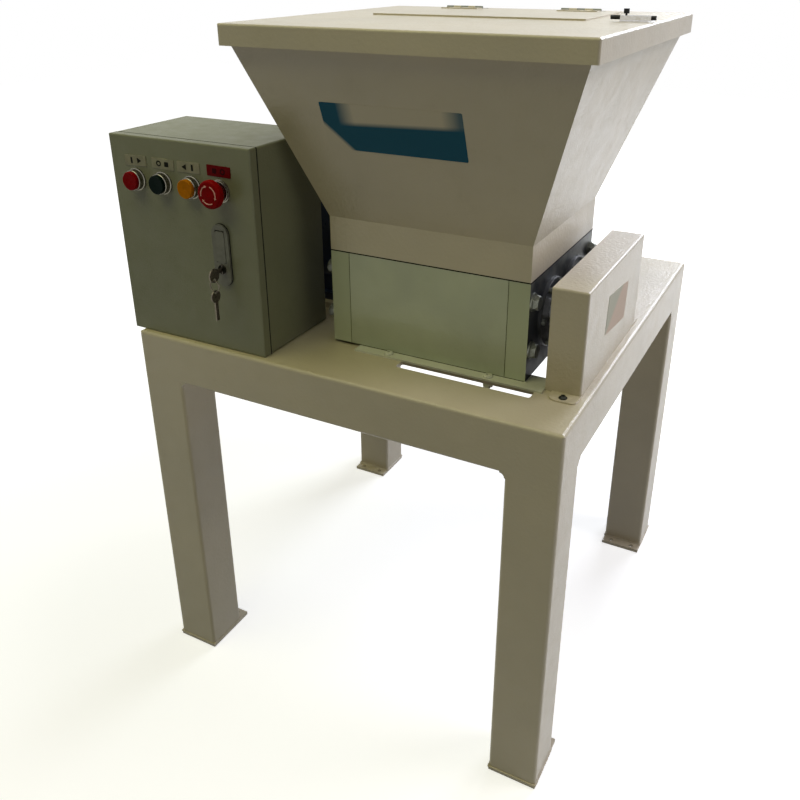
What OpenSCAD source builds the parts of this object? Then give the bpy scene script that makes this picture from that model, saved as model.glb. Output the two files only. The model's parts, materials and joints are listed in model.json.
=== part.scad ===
// Dual-shaft shredder on a welded tube table, with a feed hopper, a timing gear guard,
// a worm gearmotor and a control enclosure. Millimetres, +X right, +Y rear, +Z up.
// The origin is on the floor, under the middle of the table.

/* [Table] */
// Width of the table, left to right
table_w = 686; // [640:1:900]
// Depth of the table, front to rear
table_d = 717; // [690:1:900]
// Height of the table top above the floor
table_h = 613; // [400:1:900]
// Thickness of the top plate
top_t = 6; // [3:0.5:10]
// Outer width of a square leg tube
leg_w = 75; // [60:1:90]
// Wall of the leg and rail tubes
tube_wall = 3; // [2:0.5:5]
// Corner radius of the leg tubes
tube_r = 5; // [3.5:0.5:8]
// Height of the apron, top plate included
apron_h = 75.5; // [50:0.5:120]
// Thickness of an apron rail, front to rear
rail_t = 40; // [25:1:60]
// Length of the slot in front of the chamber
slot_l = 200; // [80:1:220]
// Width of that slot
slot_w = 21; // [8:1:21]

/* [Feet] */
// Length of a foot plate, front to rear
foot_l = 95; // [80:1:140]
// Thickness of a foot plate
foot_t = 6; // [4:0.5:15]
// Diameter of an anchor hole
anchor_d = 9; // [6:0.5:14]
// Distance between the two anchor holes of a foot
anchor_pitch = 42; // [25:1:50]
// Distance from a foot's inner edge to its anchor holes
anchor_edge = 10; // [8:0.5:13]

/* [Rotors] */
// Number of cutter and spacer pairs on each shaft
pairs = 8; // [4:1:10]
// Thickness of a cutter disc
cutter_t = 14.4; // [8:0.1:17]
// Side gap between neighbouring discs of the two shafts
side_gap = 0.6; // [0.3:0.1:1]
// Tip radius of a cutter disc
cutter_r = 58; // [54:0.5:62]
// Depth of a claw below the tip
claw_h = 12; // [6:0.5:13]
// Number of claws on a disc
claws = 5; // [3:1:8]
// Distance between the two shafts
shaft_pitch = 100; // [96:0.5:110]
// Height of the shafts above the table
shaft_z = 76; // [70:0.5:82]
// Width across the flats of the hexagonal shafts
hex_af = 50; // [40:0.5:56]
// Radius of the bearing journals
journal_r = 20; // [15:0.5:24]
// Radius of the shaft ends that carry the gears and the gearbox
end_r = 17.5; // [12:0.5:19]
// Gap between a rotor and the parts round it
rotor_gap = 3; // [1.5:0.5:5]

/* [Chamber] */
// Middle of the chamber, left to right
chamber_cx = 99.5; // [90:0.5:110]
// Distance from the table's front edge to the chamber
chamber_back = 107.5; // [90:0.5:130]
// Height of the top of the chamber above the table
chamber_top = 144.5; // [140:0.5:160]
// Thickness of an end plate
end_t = 30; // [24:0.5:40]
// Thickness of the front and rear plates
plate_t = 25; // [20:0.5:35]
// Thickness of the foot bars under the chamber
bar_t = 3; // [2:0.5:6]
// How far a foot bar stands out in front of the chamber
bar_out = 17; // [14:0.5:22]
// Thickness of a scraper finger's tip above the spacer
comb_gap = 1.5; // [1:0.5:3]
// Height of a scraper finger at the wall
comb_h = 74; // [50:1:90]

/* [Bearings] */
// Outer radius of a bearing
bearing_r = 40; // [34:0.5:42]
// Width of a bearing
bearing_w = 18; // [12:0.5:22]
// Radius of a bearing cover
cover_r = 49.3; // [46:0.1:49.5]
// Thickness of a bearing cover
cover_t = 5; // [4:0.5:8]
// Screws in a bearing cover
cover_screws = 6; // [4:1:8]

/* [Timing gears] */
// Teeth on each timing gear
gear_teeth = 25; // [17:2:31]
// Face width of a timing gear
gear_w = 25; // [15:1:30]
// Play between the teeth
backlash = 0.5; // [0.3:0.05:0.7]

/* [Gear guard] */
// Distance from the chamber to the guard
guard_gap = 30; // [24:0.5:40]
// Height of the guard
guard_h = 146; // [144:0.5:170]
// How far the guard reaches past the chamber at the front and the rear
guard_over = 4; // [1:0.5:8]
// Sheet thickness of the guard
guard_t = 1.5; // [1:0.25:3]
// Depth of a fixing ear
ear_l = 24; // [18:1:30]
// Width of a fixing ear
ear_w = 39; // [24:1:45]

/* [Hopper] */
// Height of the straight skirt
skirt_h = 49.5; // [30:0.5:80]
// Height of the hopper top above the table
hopper_top = 452.5; // [350:0.5:600]
// Width of the hopper top, left to right
hopper_w = 485; // [420:1:500]
// Depth of the hopper top, front to rear
hopper_d = 470; // [400:1:480]
// Sheet thickness of the hopper
hopper_t = 3; // [2:0.5:5]
// Height of the folded rim
rim_h = 26.4; // [15:0.2:40]
// Sheet thickness of the cover
cover_sheet = 2; // [1:0.25:3]

/* [Feed lid] */
// Width of the lid
lid_w = 310; // [200:1:330]
// Depth of the lid
lid_d = 177; // [120:1:190]
// Thickness of the lid
lid_t = 2; // [1.5:0.25:4]
// How far the lid overlaps the opening on each side
lid_lap = 12; // [8:0.5:20]
// Radius of a hinge barrel
knuckle_r = 2.5; // [2:0.25:4]
// Length of a hinge
hinge_l = 60; // [40:1:80]

/* [Latch] */
// Radius of the sliding bolt
latch_r = 2.6; // [2:0.1:3.5]
// Length of the sliding bolt
latch_l = 56; // [52:0.5:60]
// Travel of the sliding bolt
latch_travel = 34; // [32:0.5:36]
// Length of the bolt's guide
guide_l = 38; // [30:0.5:40]
// How far the thrown bolt reaches over the lid
latch_over = 4; // [2:0.25:5]

/* [Gearmotor] */
// Distance between the shaft and the worm above it
worm_rise = 75; // [66:0.5:80]
// Width of the gearbox across its output hubs
gearbox_w = 120; // [100:1:130]
// Width of the gearbox casing between its side covers
casing_w = 84; // [70:1:90]
// Radius of the casing round the worm wheel
casing_r = 62; // [54:1:64]
// Gap between the bearing cover and the gearbox
stub_gap = 33; // [20:0.5:50]
// Thickness of the gearbox base
base_t = 10; // [8:0.5:12]
// Thickness of the gearbox's foot flanges and ribs
foot_flange_t = 12; // [8:0.5:16]
// Outer radius of the worm barrel
worm_r = 36; // [30:0.5:38]
// Outer radius of the shaft seals' hubs
hub_r = 32; // [26:0.5:36]
// Radius of the motor flange
flange_r = 80; // [74:0.5:82]
// Radius over the motor's fins
motor_r = 76; // [68:0.5:78]
// Length of the finned motor body
motor_l = 158; // [120:1:170]
// Number of cooling fins
fins = 36; // [24:1:40]
// Height of a cooling fin
fin_h = 9; // [6:0.5:12]
// Length of the fan cover
fan_cover_l = 56; // [45:1:60]
// Height of the motor's terminal box
terminal_h = 40; // [30:1:46]
// Radius of the fan's shaft
fan_shaft_r = 9; // [7:0.5:12]
// Blades of the fan
fan_blades = 8; // [5:1:10]

/* [Control box] */
// Width of the control box
box_w = 250; // [230:1:255]
// Height of the control box
box_h = 300; // [280:1:340]
// Depth of the control box, door included
box_d = 160; // [150:1:161]
// Gap between the box and the chamber
box_gap = 56; // [50:0.5:80]
// Gap between the box and the gearbox behind it
box_rear_gap = 62; // [50:0.5:80]
// Thickness of the folded door
door_t = 14; // [12:0.5:18]
// Seam between the door and the box
door_seam = 2.5; // [2:0.25:4]
// Sheet thickness of the box and the door
box_t = 1.5; // [1:0.25:2]
// Width of the folded lip round the box's mouth
lip_w = 12; // [10:0.5:14]
// Radius of a cable gland's thread
gland_r = 10; // [7:0.5:12]
// Radius of a door hinge pin
door_pin_r = 2; // [1.5:0.25:2.5]
// Height of a door hinge lug
lug_h = 15; // [10:0.5:20]
// Thickness of the mounting plate
plate_sheet = 2; // [1.5:0.25:3]

/* [Controls] */
// Distance from the box's top down to the buttons
button_drop = 61.5; // [45:0.5:75]
// Places of the buttons across the door, from its left edge
button_x = [45.5, 94.5, 146.5];
// Place of the emergency stop across the door
estop_x = 196; // [186:0.5:206]
// Outer radius of a button's bezel
bezel_r = 16; // [15:0.1:18]
// Height of a bezel off the door
bezel_h = 11; // [8:0.5:18]
// Radius of a button cap
cap_r = 13.2; // [11:0.1:13.4]
// How far a cap stands out of its bezel
cap_out = 5; // [4.5:0.5:8]
// Travel of a button
button_travel = 3; // [2:0.25:4]
// Radius of the emergency stop's head
estop_r = 19.5; // [17:0.5:22]
// Distance of the emergency stop's face from the door
estop_out = 26; // [24:0.5:38]
// Travel of the emergency stop
estop_travel = 4; // [3:0.25:5]

/* [Door lock] */
// Place of the lock across the door
lock_x = 190; // [180:0.5:205]
// Distance from the buttons down to the lock's middle
lock_drop = 91.5; // [80:0.5:120]
// Length of the lock plate
lock_l = 90; // [80:1:100]
// Width of the lock plate
lock_w = 28; // [25:0.5:34]
// Thickness of the lock plate
lock_t = 4; // [3:0.5:6]
// Distance from the lock's middle down to its key
key_drop = 20; // [18:0.5:24]
// Radius of the key barrel
barrel_r = 7; // [5.5:0.25:8]
// Radius of a key's bow
bow_r = 10; // [8:0.5:12]
// Thickness of a key
key_t = 2; // [1.5:0.1:3]

/* [Fasteners] */
// Width across the flats of the chamber bolts
bolt_af = 19; // [16:0.5:22]
// Shank radius of the chamber bolts
bolt_r = 6; // [5:0.25:7]
// Width across the flats of the small bolts
small_af = 13; // [10:0.5:16]
// Shank radius of the small bolts
small_r = 4; // [3:0.25:4.5]
// Shank radius of the socket screws
screw_r = 2.5; // [2:0.25:3]

/* [Hidden] */

// One overrun for every cut, and the named clearances
overrun = 1;
run_fit = 0.05;
seat_gap = 0.3;
slip_gap = 0.1;

// Places worked out for the table
top_z = table_h - top_t;
rail_h = apron_h - top_t;
rail_z = table_h - apron_h;
anchor_y = table_d/2 - foot_l + anchor_edge;

// Places worked out for the rotors and the chamber
half_pitch = cutter_t + side_gap;
spacer_t = cutter_t + 2*side_gap;
spacer_r = shaft_pitch - cutter_r - rotor_gap;
end_gap = 2.5*side_gap;
inner_l = 2*half_pitch*pairs + 2*end_gap;
inner_d = shaft_pitch + 2*(cutter_r + rotor_gap);
inner_x = chamber_cx - inner_l/2;
chamber_l = inner_l + 2*end_t;
chamber_d = inner_d + 2*plate_t;
chamber_x = chamber_cx - chamber_l/2;
chamber_y = -table_d/2 + chamber_back;
chamber_cy = chamber_y + chamber_d/2;
inner_y = chamber_y + plate_t;
chamber_h = chamber_top - bar_t;
front_y = chamber_cy - shaft_pitch/2;
rear_y = chamber_cy + shaft_pitch/2;
rotor_z = table_h + shaft_z;
hex_r = hex_af/2/cos(30);
bolt_heights = [chamber_h*0.3, chamber_h*0.79];
bolt_head_h = bolt_af*0.4;
washer_r = bolt_af*0.66;
washer_t = bolt_af*0.13;
small_head_h = small_af*0.42;
small_washer_r = small_af*0.65;
small_washer_t = small_af*0.13;
screw_head_r = screw_r*1.6;
screw_head_h = screw_r*1.8;

// Places worked out for the bearings
seal_r = journal_r*1.15;
cover_pcd_r = bearing_r + screw_r*1.7;
shaft_shoulder = end_gap/2;
disc_x = inner_x + end_gap;
finger_t = cutter_t - side_gap;

// Places worked out for the timing gears and their guard
gear_module = shaft_pitch/gear_teeth;
gear_tip_r = shaft_pitch/2 + gear_module;
gear_root_r = shaft_pitch/2 - 1.25*gear_module;
gear_base_r = shaft_pitch/2*cos(20);
gear_inset = gear_w*0.28;
guard_clear = gear_w*0.12;
end_washer_t = end_r*0.28;
guard_x = chamber_x + chamber_l + guard_gap;
gear_x = guard_x + gear_inset;
guard_w = gear_inset + gear_w + end_washer_t + bolt_head_h + guard_clear + guard_t;
guard_y = chamber_y - guard_over;
guard_d = chamber_d + 2*guard_over;
guard_r = guard_t*2;
ear_t = guard_t*1.4;
ear_x = guard_x + guard_w - ear_w;
guard_screw_x = ear_x + ear_w/2;
guard_screws_y = [guard_y - ear_l*0.6, guard_y + guard_d + ear_l*0.6];
key_w = end_r*0.56;
key_rise = end_r*0.17;

// Places worked out for the discharge opening and the foot bars
bar_x = chamber_x + end_t + end_t/2;
bar_l = guard_x - bar_x;
bar_w = bar_out + plate_t;
bar_bolts_x = [bar_x + bar_l*0.18, bar_x + bar_l*0.72];
bar_bolt_y = chamber_d/2 + bar_out*0.44;
bar_head_r = small_r*1.75;
bar_head_h = small_r*0.85;
slot_x = guard_x - slot_w/2 - slot_l/2;
slot_y = chamber_y - bar_out - slot_w*0.33;
slot_r = slot_w*0.15;

// Places worked out for the hopper
skirt_top = chamber_top + skirt_h;
panel_top = hopper_top - cover_sheet;
hopper_x = chamber_cx - hopper_w/2;
hopper_y = chamber_cy - hopper_d/2;
panel_in = cover_sheet + seat_gap;

// Places worked out for the lid and its latch
lid_x = chamber_cx - lid_w/2;
lid_y = chamber_cy;
deck_z = table_h + hopper_top;
hinge_y = lid_y + lid_d + knuckle_r + seat_gap;
hinge_z = deck_z + knuckle_r + seat_gap;
pin_r = knuckle_r*0.5;
leaf_t = knuckle_r*0.5;
leaf_w = knuckle_r*9;
hinge_places = [lid_x + lid_w*0.2, lid_x + lid_w*0.8];
knuckles = 5;
knuckle_l = hinge_l/knuckles;
latch_tip_x = lid_x + lid_w + latch_travel - latch_over;
latch_y = lid_y + latch_r*2;
latch_z = deck_z + lid_t + latch_r + seat_gap;
guide_x = latch_tip_x + latch_l*0.23;
guide_w = latch_r*4;
guide_plate_t = lid_t*0.8;
knob_r = latch_r*1.35;
knob_h = latch_r*4;

// Places worked out for the gearmotor
gearbox_cx = chamber_x - cover_t - stub_gap - gearbox_w/2;
worm_z = shaft_z + worm_rise;
neck_l = casing_r*0.13;
neck_y = rear_y + casing_r + neck_l;
flange_t = flange_r*0.15;
motor_y = neck_y + 2*flange_t;
fan_y = motor_y + motor_l;
fan_r = motor_r*0.74;
fan_w = fan_cover_l*0.42;
blade_t = fan_shaft_r*0.25;
fan_cover_t = fan_shaft_r*0.17;
shield_r = motor_r*1.01;
foot_bolt_x = gearbox_w*0.42;
foot_bolt_y = casing_r*0.94;
flange_pcd_r = flange_r*0.88;
terminal_w = motor_r*1.15;
terminal_z = motor_r*1.04;

// Places worked out for the control box
box_x = chamber_x - box_gap - box_w;
box_y = rear_y - casing_r - box_rear_gap - box_d;
body_y = box_y + door_t + door_seam;
body_d = box_d - door_t - door_seam;
box_r = lip_w*0.33;
pin_x = box_x + 2*box_t;
pin_y = box_y + 6*box_t;
lug_w = lip_w*0.9;
lug_places = [box_h*0.1, box_h*0.85];
fold_w = lip_w*0.84;
gasket_w = lip_w*0.38;
gasket_in = lip_w*0.52;
plate_gap = 4*plate_sheet;
gland_z = box_h*0.14;
gland_places = [box_x + box_w*0.3, box_x + box_w*0.5, box_x + box_w*0.7];

// Places worked out for the controls and the lock
button_z = box_h - button_drop;
lock_z = button_z - lock_drop;
thread_r = cap_r*0.95;
stem_r = cap_r*0.65;
thread_l = bezel_h*0.73;
stem_end = box_t + thread_l;
block_w = 2*bezel_r*0.92;
block_l = block_w*1.2;
lock_in = lock_t*4;
recess_w = lock_w*0.58;
handle_t = lock_t*1.6;
handle_z = barrel_r*1.4 - key_drop;
handle_l = lock_l/2 - handle_z - lock_w*0.3;
handle_pin_r = lock_t*0.3;
handle_pin_y = handle_t/2 - lock_t*1.15;
handle_pin_z = handle_z + handle_l - handle_t*0.72;
handle_gap = handle_t*0.24;
barrel_l = lock_t + door_t + door_seam + 3*box_t;
cam_w = barrel_r*1.1;
cam_t = key_t*1.2;
cam_l = box_w - lock_x - lip_w*0.75;
key_reach = bow_r*0.8;
key_pin_r = bow_r*0.24;
ring_r = bow_r*0.8;
ring_wire_r = key_t*0.4;
hang = key_pin_r - ring_wire_r - seat_gap;

// Shares of the sizes that they follow, chosen by hand
claw_back_shares = [
    [0.16, 0.00], [0.30, 0.10], [0.46, 0.28], [0.62, 0.52], [0.78, 0.80], [0.92, 1.00], [1.00, 1.00]
];
claw_face_shares = [[0.955, 0.62], [0.93, 0.28], [0.97, 0.06], [1.05, 0.00]];
flank_shares = [0.0, 0.3, 0.55, 0.8, 1.0];

// Points on an arc round a centre, from one angle to another
function arc(c, r, a, b, n) =
    [for (i = [0:n]) let (t = a + (b - a)*i/n) [c[0] + r*cos(t), c[1] + r*sin(t)]];

// Outline of a rectangle with rounded corners, its corner at the origin
function rounded(w, h, r, n = 5) = concat(
    arc([r, r], r, 180, 270, n),
    arc([w - r, r], r, 270, 360, n),
    arc([w - r, h - r], r, 0, 90, n),
    arc([r, h - r], r, 90, 180, n)
);

// A polar point
function polar(r, a) = [r*cos(a), r*sin(a)];

// One claw of a cutter disc, counter-clockwise: its back, its tip and its undercut face
function claw(k) = let (step = 360/claws, low = cutter_r - claw_h) concat(
    [for (s = claw_back_shares) polar(low + claw_h*s[1], step*(k + s[0]))],
    [for (s = claw_face_shares) polar(low + claw_h*s[1], step*(k + s[0]))]
);

// Angle of an involute at a radius, in degrees
function involute(r) = let (t = sqrt(max(pow(r/gear_base_r, 2) - 1, 0))) t*180/PI - atan(t);

// Half the angle of a tooth at a radius
function half_tooth(r) =
    90/gear_teeth + involute(shaft_pitch/2) - involute(r) - backlash/shaft_pitch*90/PI;

// One tooth, counter-clockwise, its middle at the given angle
function tooth(a) = let (low = max(gear_base_r, gear_root_r)) concat(
    [polar(gear_root_r, a - half_tooth(low))],
    [for (s = flank_shares) let (r = low + (gear_tip_r - low)*s) polar(r, a - half_tooth(r))],
    [for (i = [len(flank_shares) - 1:-1:0]) let (r = low + (gear_tip_r - low)*flank_shares[i])
        polar(r, a + half_tooth(r))],
    [polar(gear_root_r, a + half_tooth(low))]
);

// Draws a flat shape in the Y-Z plane and extrudes it along +X
module along_x(l) { rotate([90, 0, 90]) linear_extrude(l) children(); }

// Draws a flat shape in the X-Z plane and extrudes it along +Y
module along_y(l) { translate([0, l, 0]) rotate([90, 0, 0]) linear_extrude(l) children(); }

// A straight round bar along +X, and one along +Y
module bar_x(r, l) { rotate([0, 90, 0]) cylinder(r = r, h = l); }
module bar_y(r, l) { rotate([-90, 0, 0]) cylinder(r = r, h = l); }

// The side view of a folded sheet: square at its foot, rounded at its two folds
function fold_points(w, h, r) = concat(
    [[0, 0]],
    [[w, 0]],
    arc([w - r, h - r], r, 0, 90, 5),
    arc([r, h - r], r, 90, 180, 5)
);

// A block with its folds rounded round the top, and its four upright edges
module folded(w, d, h, r) {
    intersection() {
        linear_extrude(h) polygon(rounded(w, d, r));
        along_x(w) polygon(fold_points(d, h, r));
        along_y(d) polygon(fold_points(w, h, r));
    }
}

// A hexagonal prism along +Z
module hex(af, h) { cylinder(r = af/2/cos(30), h = h, $fn = 6); }

// A hexagon bolt with its washer, seated at the origin, its head along +Z
module hex_bolt(af, r, l, head_h, w_r, w_t) {
    cylinder(r = w_r, h = w_t);
    intersection() {
        translate([0, 0, w_t]) hex(af, head_h);
        translate([0, 0, w_t]) cylinder(r1 = af*0.62, r2 = af*0.49, h = head_h*1.05);
    }
    translate([0, 0, -l]) cylinder(r = r, h = l + w_t);
}

// A socket screw seated at the origin, its head along +Z
module socket_screw(r, l) {
    difference() {
        union() {
            cylinder(r = screw_head_r, h = screw_head_h);
            translate([0, 0, -l]) cylinder(r = r, h = l + overrun/2);
        }
        translate([0, 0, screw_head_h/2]) hex(r*1.6, screw_head_h);
    }
}

// A small bolt seated at the origin, through a given thickness, with its nut below
module through_bolt(grip) {
    hex_bolt(small_af, small_r, grip + small_head_h*1.5, small_head_h, small_washer_r, small_washer_t);
    translate([0, 0, -grip - small_head_h]) hex(small_af, small_head_h);
}

// A low button-head bolt seated at the origin, through a given thickness, with its nut below
module button_bolt(grip) {
    reach = grip + small_head_h*1.5;
    difference() {
        rotate_extrude() polygon([
            [0, 0],
            [bar_head_r, 0],
            [bar_head_r*0.98, bar_head_h*0.4],
            [bar_head_r*0.8, bar_head_h*0.78],
            [bar_head_r*0.5, bar_head_h],
            [0, bar_head_h]
        ]);
        translate([0, 0, bar_head_h*0.5]) hex(small_r*1.25, bar_head_h);
    }
    translate([0, 0, -reach]) cylinder(r = small_r, h = reach + bar_head_h*0.3);
    translate([0, 0, -grip - small_head_h]) hex(small_af, small_head_h);
}

// Puts its children at both shafts
module at_shafts() {
    for (y = [front_y, rear_y]) translate([0, y, rotor_z]) children();
}

// The table
module leg_bore() {
    inner_w = leg_w - 2*tube_wall;
    translate([tube_wall, tube_wall]) polygon(rounded(inner_w, inner_w, tube_r - tube_wall));
}

// Beside the rails a leg's rounded corners are filled with weld and ground flush
module legs() {
    color("wheat")
    for (sx = [0, 1], sy = [0, 1]) translate([-table_w/2 + sx*table_w, -table_d/2 + sy*table_d, 0])
        mirror([sx, 0, 0]) mirror([0, sy, 0]) {
            translate([0, 0, foot_t]) linear_extrude(rail_z - foot_t) difference() {
                polygon(rounded(leg_w, leg_w, tube_r));
                leg_bore();
            }
            translate([0, 0, rail_z]) linear_extrude(rail_h) difference() {
                union() {
                    polygon(rounded(leg_w, leg_w, tube_r));
                    translate([leg_w/2, 0]) square([leg_w/2, leg_w]);
                    translate([0, leg_w/2]) square([leg_w, leg_w/2]);
                }
                leg_bore();
            }
        }
}

module foot_plates() {
    color("wheat")
    for (sx = [-1, 1], sy = [-1, 1]) difference() {
        translate([sx > 0 ? table_w/2 - leg_w : -table_w/2, sy > 0 ? table_d/2 - foot_l : -table_d/2, 0])
            cube([leg_w, foot_l, foot_t]);
        for (dx = [-1, 1])
            translate([sx*(table_w/2 - leg_w/2) + dx*anchor_pitch/2, sy*anchor_y, -overrun])
                cylinder(d = anchor_d, h = foot_t + 2*overrun);
    }
}

// A rail along +X: a tube, square where it meets the top plate
module rail(l) {
    translate([0, 0, rail_z]) along_x(l) difference() {
        union() {
            polygon(rounded(rail_t, rail_h, tube_r));
            translate([0, rail_h/2]) square([rail_t, rail_h/2]);
        }
        translate([tube_wall, tube_wall])
            polygon(rounded(rail_t - 2*tube_wall, rail_h - 2*tube_wall, tube_r - tube_wall));
    }
}

module apron_rails() {
    long_l = table_w - 2*leg_w;
    short_l = table_d - 2*leg_w;
    color("wheat") {
        translate([-long_l/2, -table_d/2, 0]) rail(long_l);
        translate([-long_l/2, table_d/2 - rail_t, 0]) rail(long_l);
        translate([-table_w/2 + rail_t, -short_l/2, 0]) rotate([0, 0, 90]) rail(short_l);
        translate([table_w/2, -short_l/2, 0]) rotate([0, 0, 90]) rail(short_l);
    }
}

module table_top() {
    color("wheat")
    difference() {
        translate([-table_w/2, -table_d/2, top_z]) folded(table_w, table_d, top_t, top_t*0.9);
        translate([0, 0, top_z - overrun]) linear_extrude(top_t + 2*overrun) {
            translate([inner_x, inner_y]) square([guard_x - gear_inset - inner_x, inner_d]);
            translate([slot_x - slot_l/2, slot_y - slot_w/2]) polygon(rounded(slot_l, slot_w, slot_r));
            for (x = bar_bolts_x, s = [-1, 1])
                translate([x, chamber_cy + s*bar_bolt_y]) circle(r = small_r + seat_gap);
            for (y = guard_screws_y) translate([guard_screw_x, y]) circle(r = screw_r + seat_gap);
            translate([gearbox_cx, rear_y]) for (x = [-1, 1], y = [-1, 1])
                translate([x*foot_bolt_x, y*foot_bolt_y]) circle(r = small_r + seat_gap);
        }
    }
}

// The cutting chamber
module end_plate(left) {
    difference() {
        translate([0, chamber_y, table_h + bar_t]) cube([end_t, chamber_d, chamber_h]);
        at_shafts() {
            translate([-overrun, 0, 0]) bar_x(seal_r, end_t + 2*overrun);
            translate([left ? -overrun : end_t - bearing_w, 0, 0])
                bar_x(bearing_r + run_fit, bearing_w + overrun);
            for (i = [0:cover_screws - 1]) rotate([30 + i*360/cover_screws, 0, 0])
                translate([left ? -overrun : end_t - 4*screw_r, 0, cover_pcd_r])
                    bar_x(screw_r + slip_gap, 4*screw_r + overrun);
        }
        for (z = bolt_heights, y = [chamber_y + plate_t/2, chamber_y + chamber_d - plate_t/2])
            translate([-overrun, y, table_h + bar_t + z]) bar_x(bolt_r + slip_gap, end_t + 2*overrun);
    }
}

module chamber_end_left() { color("darkslategray") translate([chamber_x, 0, 0]) end_plate(true); }

module chamber_end_right() {
    color("darkslategray") translate([inner_x + inner_l, 0, 0]) end_plate(false);
}

module side_plate() {
    difference() {
        translate([inner_x, 0, table_h + bar_t]) cube([inner_l, plate_t, chamber_h]);
        for (z = bolt_heights, x = [inner_x - overrun, inner_x + inner_l - 3*bolt_r])
            translate([x, plate_t/2, table_h + bar_t + z]) bar_x(bolt_r + slip_gap, 3*bolt_r + overrun);
    }
}

module chamber_front_plate() { color("darkseagreen") translate([0, chamber_y, 0]) side_plate(); }

module chamber_rear_plate() {
    color("darkseagreen") translate([0, chamber_y + chamber_d - plate_t, 0]) side_plate();
}

module chamber_bolts() {
    reach = end_t + 2*bolt_r;
    color("silver")
    for (z = bolt_heights, y = [chamber_y + plate_t/2, chamber_y + chamber_d - plate_t/2], s = [-1, 1])
        translate([chamber_cx + s*chamber_l/2, y, table_h + bar_t + z]) rotate([0, s*90, 0])
            hex_bolt(bolt_af, bolt_r, reach, bolt_head_h, washer_r, washer_t);
}

module foot_bars() {
    color("darkseagreen")
    for (s = [-1, 1]) difference() {
        translate([bar_x, chamber_cy + s*(chamber_d/2 + bar_out - bar_w/2) - bar_w/2, table_h])
            cube([bar_l, bar_w, bar_t]);
        for (x = bar_bolts_x)
            translate([x, chamber_cy + s*bar_bolt_y, table_h - overrun])
                cylinder(r = small_r + seat_gap, h = bar_t + 2*overrun);
    }
}

module foot_bar_bolts() {
    color("silver")
    for (x = bar_bolts_x, s = [-1, 1])
        translate([x, chamber_cy + s*bar_bolt_y, table_h + bar_t]) button_bolt(bar_t + top_t);
}

// A finger fills the space between two cutters, from the wall to the spacer
module finger() {
    reach = cutter_r + rotor_gap;
    along_x(finger_t) difference() {
        polygon([
            [-reach, -comb_h*0.6],
            [-spacer_r*0.5, -comb_h*0.42],
            [-spacer_r*0.5, comb_h*0.3],
            [-spacer_r*0.75, comb_h*0.36],
            [-reach, comb_h*0.4]
        ]);
        circle(r = spacer_r + comb_gap);
    }
}

module scraper_fingers() {
    side = (spacer_t - finger_t)/2;
    color("dimgray")
    for (i = [0:pairs - 1]) {
        translate([disc_x + 2*half_pitch*i + cutter_t + side, rear_y, rotor_z]) mirror([0, 1, 0]) finger();
        translate([disc_x + 2*half_pitch*i - side_gap + side, front_y, rotor_z]) finger();
    }
}

// The bearings, with a groove on each face between the rings
module bearings() {
    color("lightsteelblue")
    for (x = [chamber_x, chamber_x + chamber_l - bearing_w], y = [front_y, rear_y])
        translate([x, y, rotor_z]) rotate([0, 90, 0]) difference() {
            cylinder(r = bearing_r, h = bearing_w);
            translate([0, 0, -overrun]) cylinder(r = journal_r + run_fit, h = bearing_w + 2*overrun);
            for (z = [-overrun, bearing_w - overrun]) translate([0, 0, z]) difference() {
                cylinder(r = bearing_r*0.84, h = 2*overrun);
                translate([0, 0, -overrun]) cylinder(r = journal_r*1.25, h = 4*overrun);
            }
        }
}

module bearing_cover(open) {
    edge = cover_t*0.16;
    rotate([0, 90, 0]) difference() {
        rotate_extrude() polygon([
            [0, 0],
            [cover_r, 0],
            [cover_r, cover_t - edge],
            [cover_r - edge, cover_t],
            [0, cover_t]
        ]);
        if (open) translate([0, 0, -overrun]) cylinder(r = journal_r*1.06, h = cover_t + 2*overrun);
        for (i = [0:cover_screws - 1]) rotate([0, 0, 30 + i*360/cover_screws])
            translate([-cover_pcd_r, 0, -overrun]) cylinder(r = screw_r + slip_gap, h = cover_t + 2*overrun);
    }
}

module bearing_covers() {
    color("slategray") {
        for (y = [front_y, rear_y]) translate([chamber_x + chamber_l, y, rotor_z]) bearing_cover(true);
        for (y = [front_y, rear_y]) translate([chamber_x, y, rotor_z]) mirror([1, 0, 0])
            bearing_cover(y == rear_y);
    }
}

module bearing_cover_screws() {
    color("silver")
    for (s = [-1, 1], y = [front_y, rear_y], i = [0:cover_screws - 1])
        translate([chamber_cx + s*(chamber_l/2 + cover_t), y, rotor_z])
            rotate([30 + i*360/cover_screws, 0, 0]) translate([0, 0, cover_pcd_r])
                rotate([0, s*90, 0]) socket_screw(screw_r, cover_t + 3*screw_r);
}

// The rotors
module cutter_disc(turn) {
    along_x(cutter_t) difference() {
        rotate(turn) polygon([for (k = [0:claws - 1]) each claw(k)]);
        rotate(30) circle(r = hex_r + slip_gap, $fn = 6);
    }
}

module spacer_disc() {
    along_x(spacer_t) difference() {
        circle(r = spacer_r);
        rotate(30) circle(r = hex_r + slip_gap, $fn = 6);
    }
}

module drive_cutters() {
    color("gray")
    for (i = [0:pairs - 1])
        translate([disc_x + half_pitch*2*i, rear_y, rotor_z]) cutter_disc(i*360/claws/pairs);
}

module driven_cutters() {
    color("gray")
    for (i = [0:pairs - 1])
        translate([disc_x + half_pitch*(2*i + 1), front_y, rotor_z])
            mirror([0, 1, 0]) cutter_disc(i*360/claws/pairs);
}

module drive_spacers() {
    color("darkgray")
    for (i = [0:pairs - 1])
        translate([disc_x + half_pitch*2*i + cutter_t, rear_y, rotor_z]) spacer_disc();
}

module driven_spacers() {
    color("darkgray")
    for (i = [0:pairs - 1])
        translate([disc_x + half_pitch*2*i - side_gap, front_y, rotor_z]) spacer_disc();
}

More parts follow.
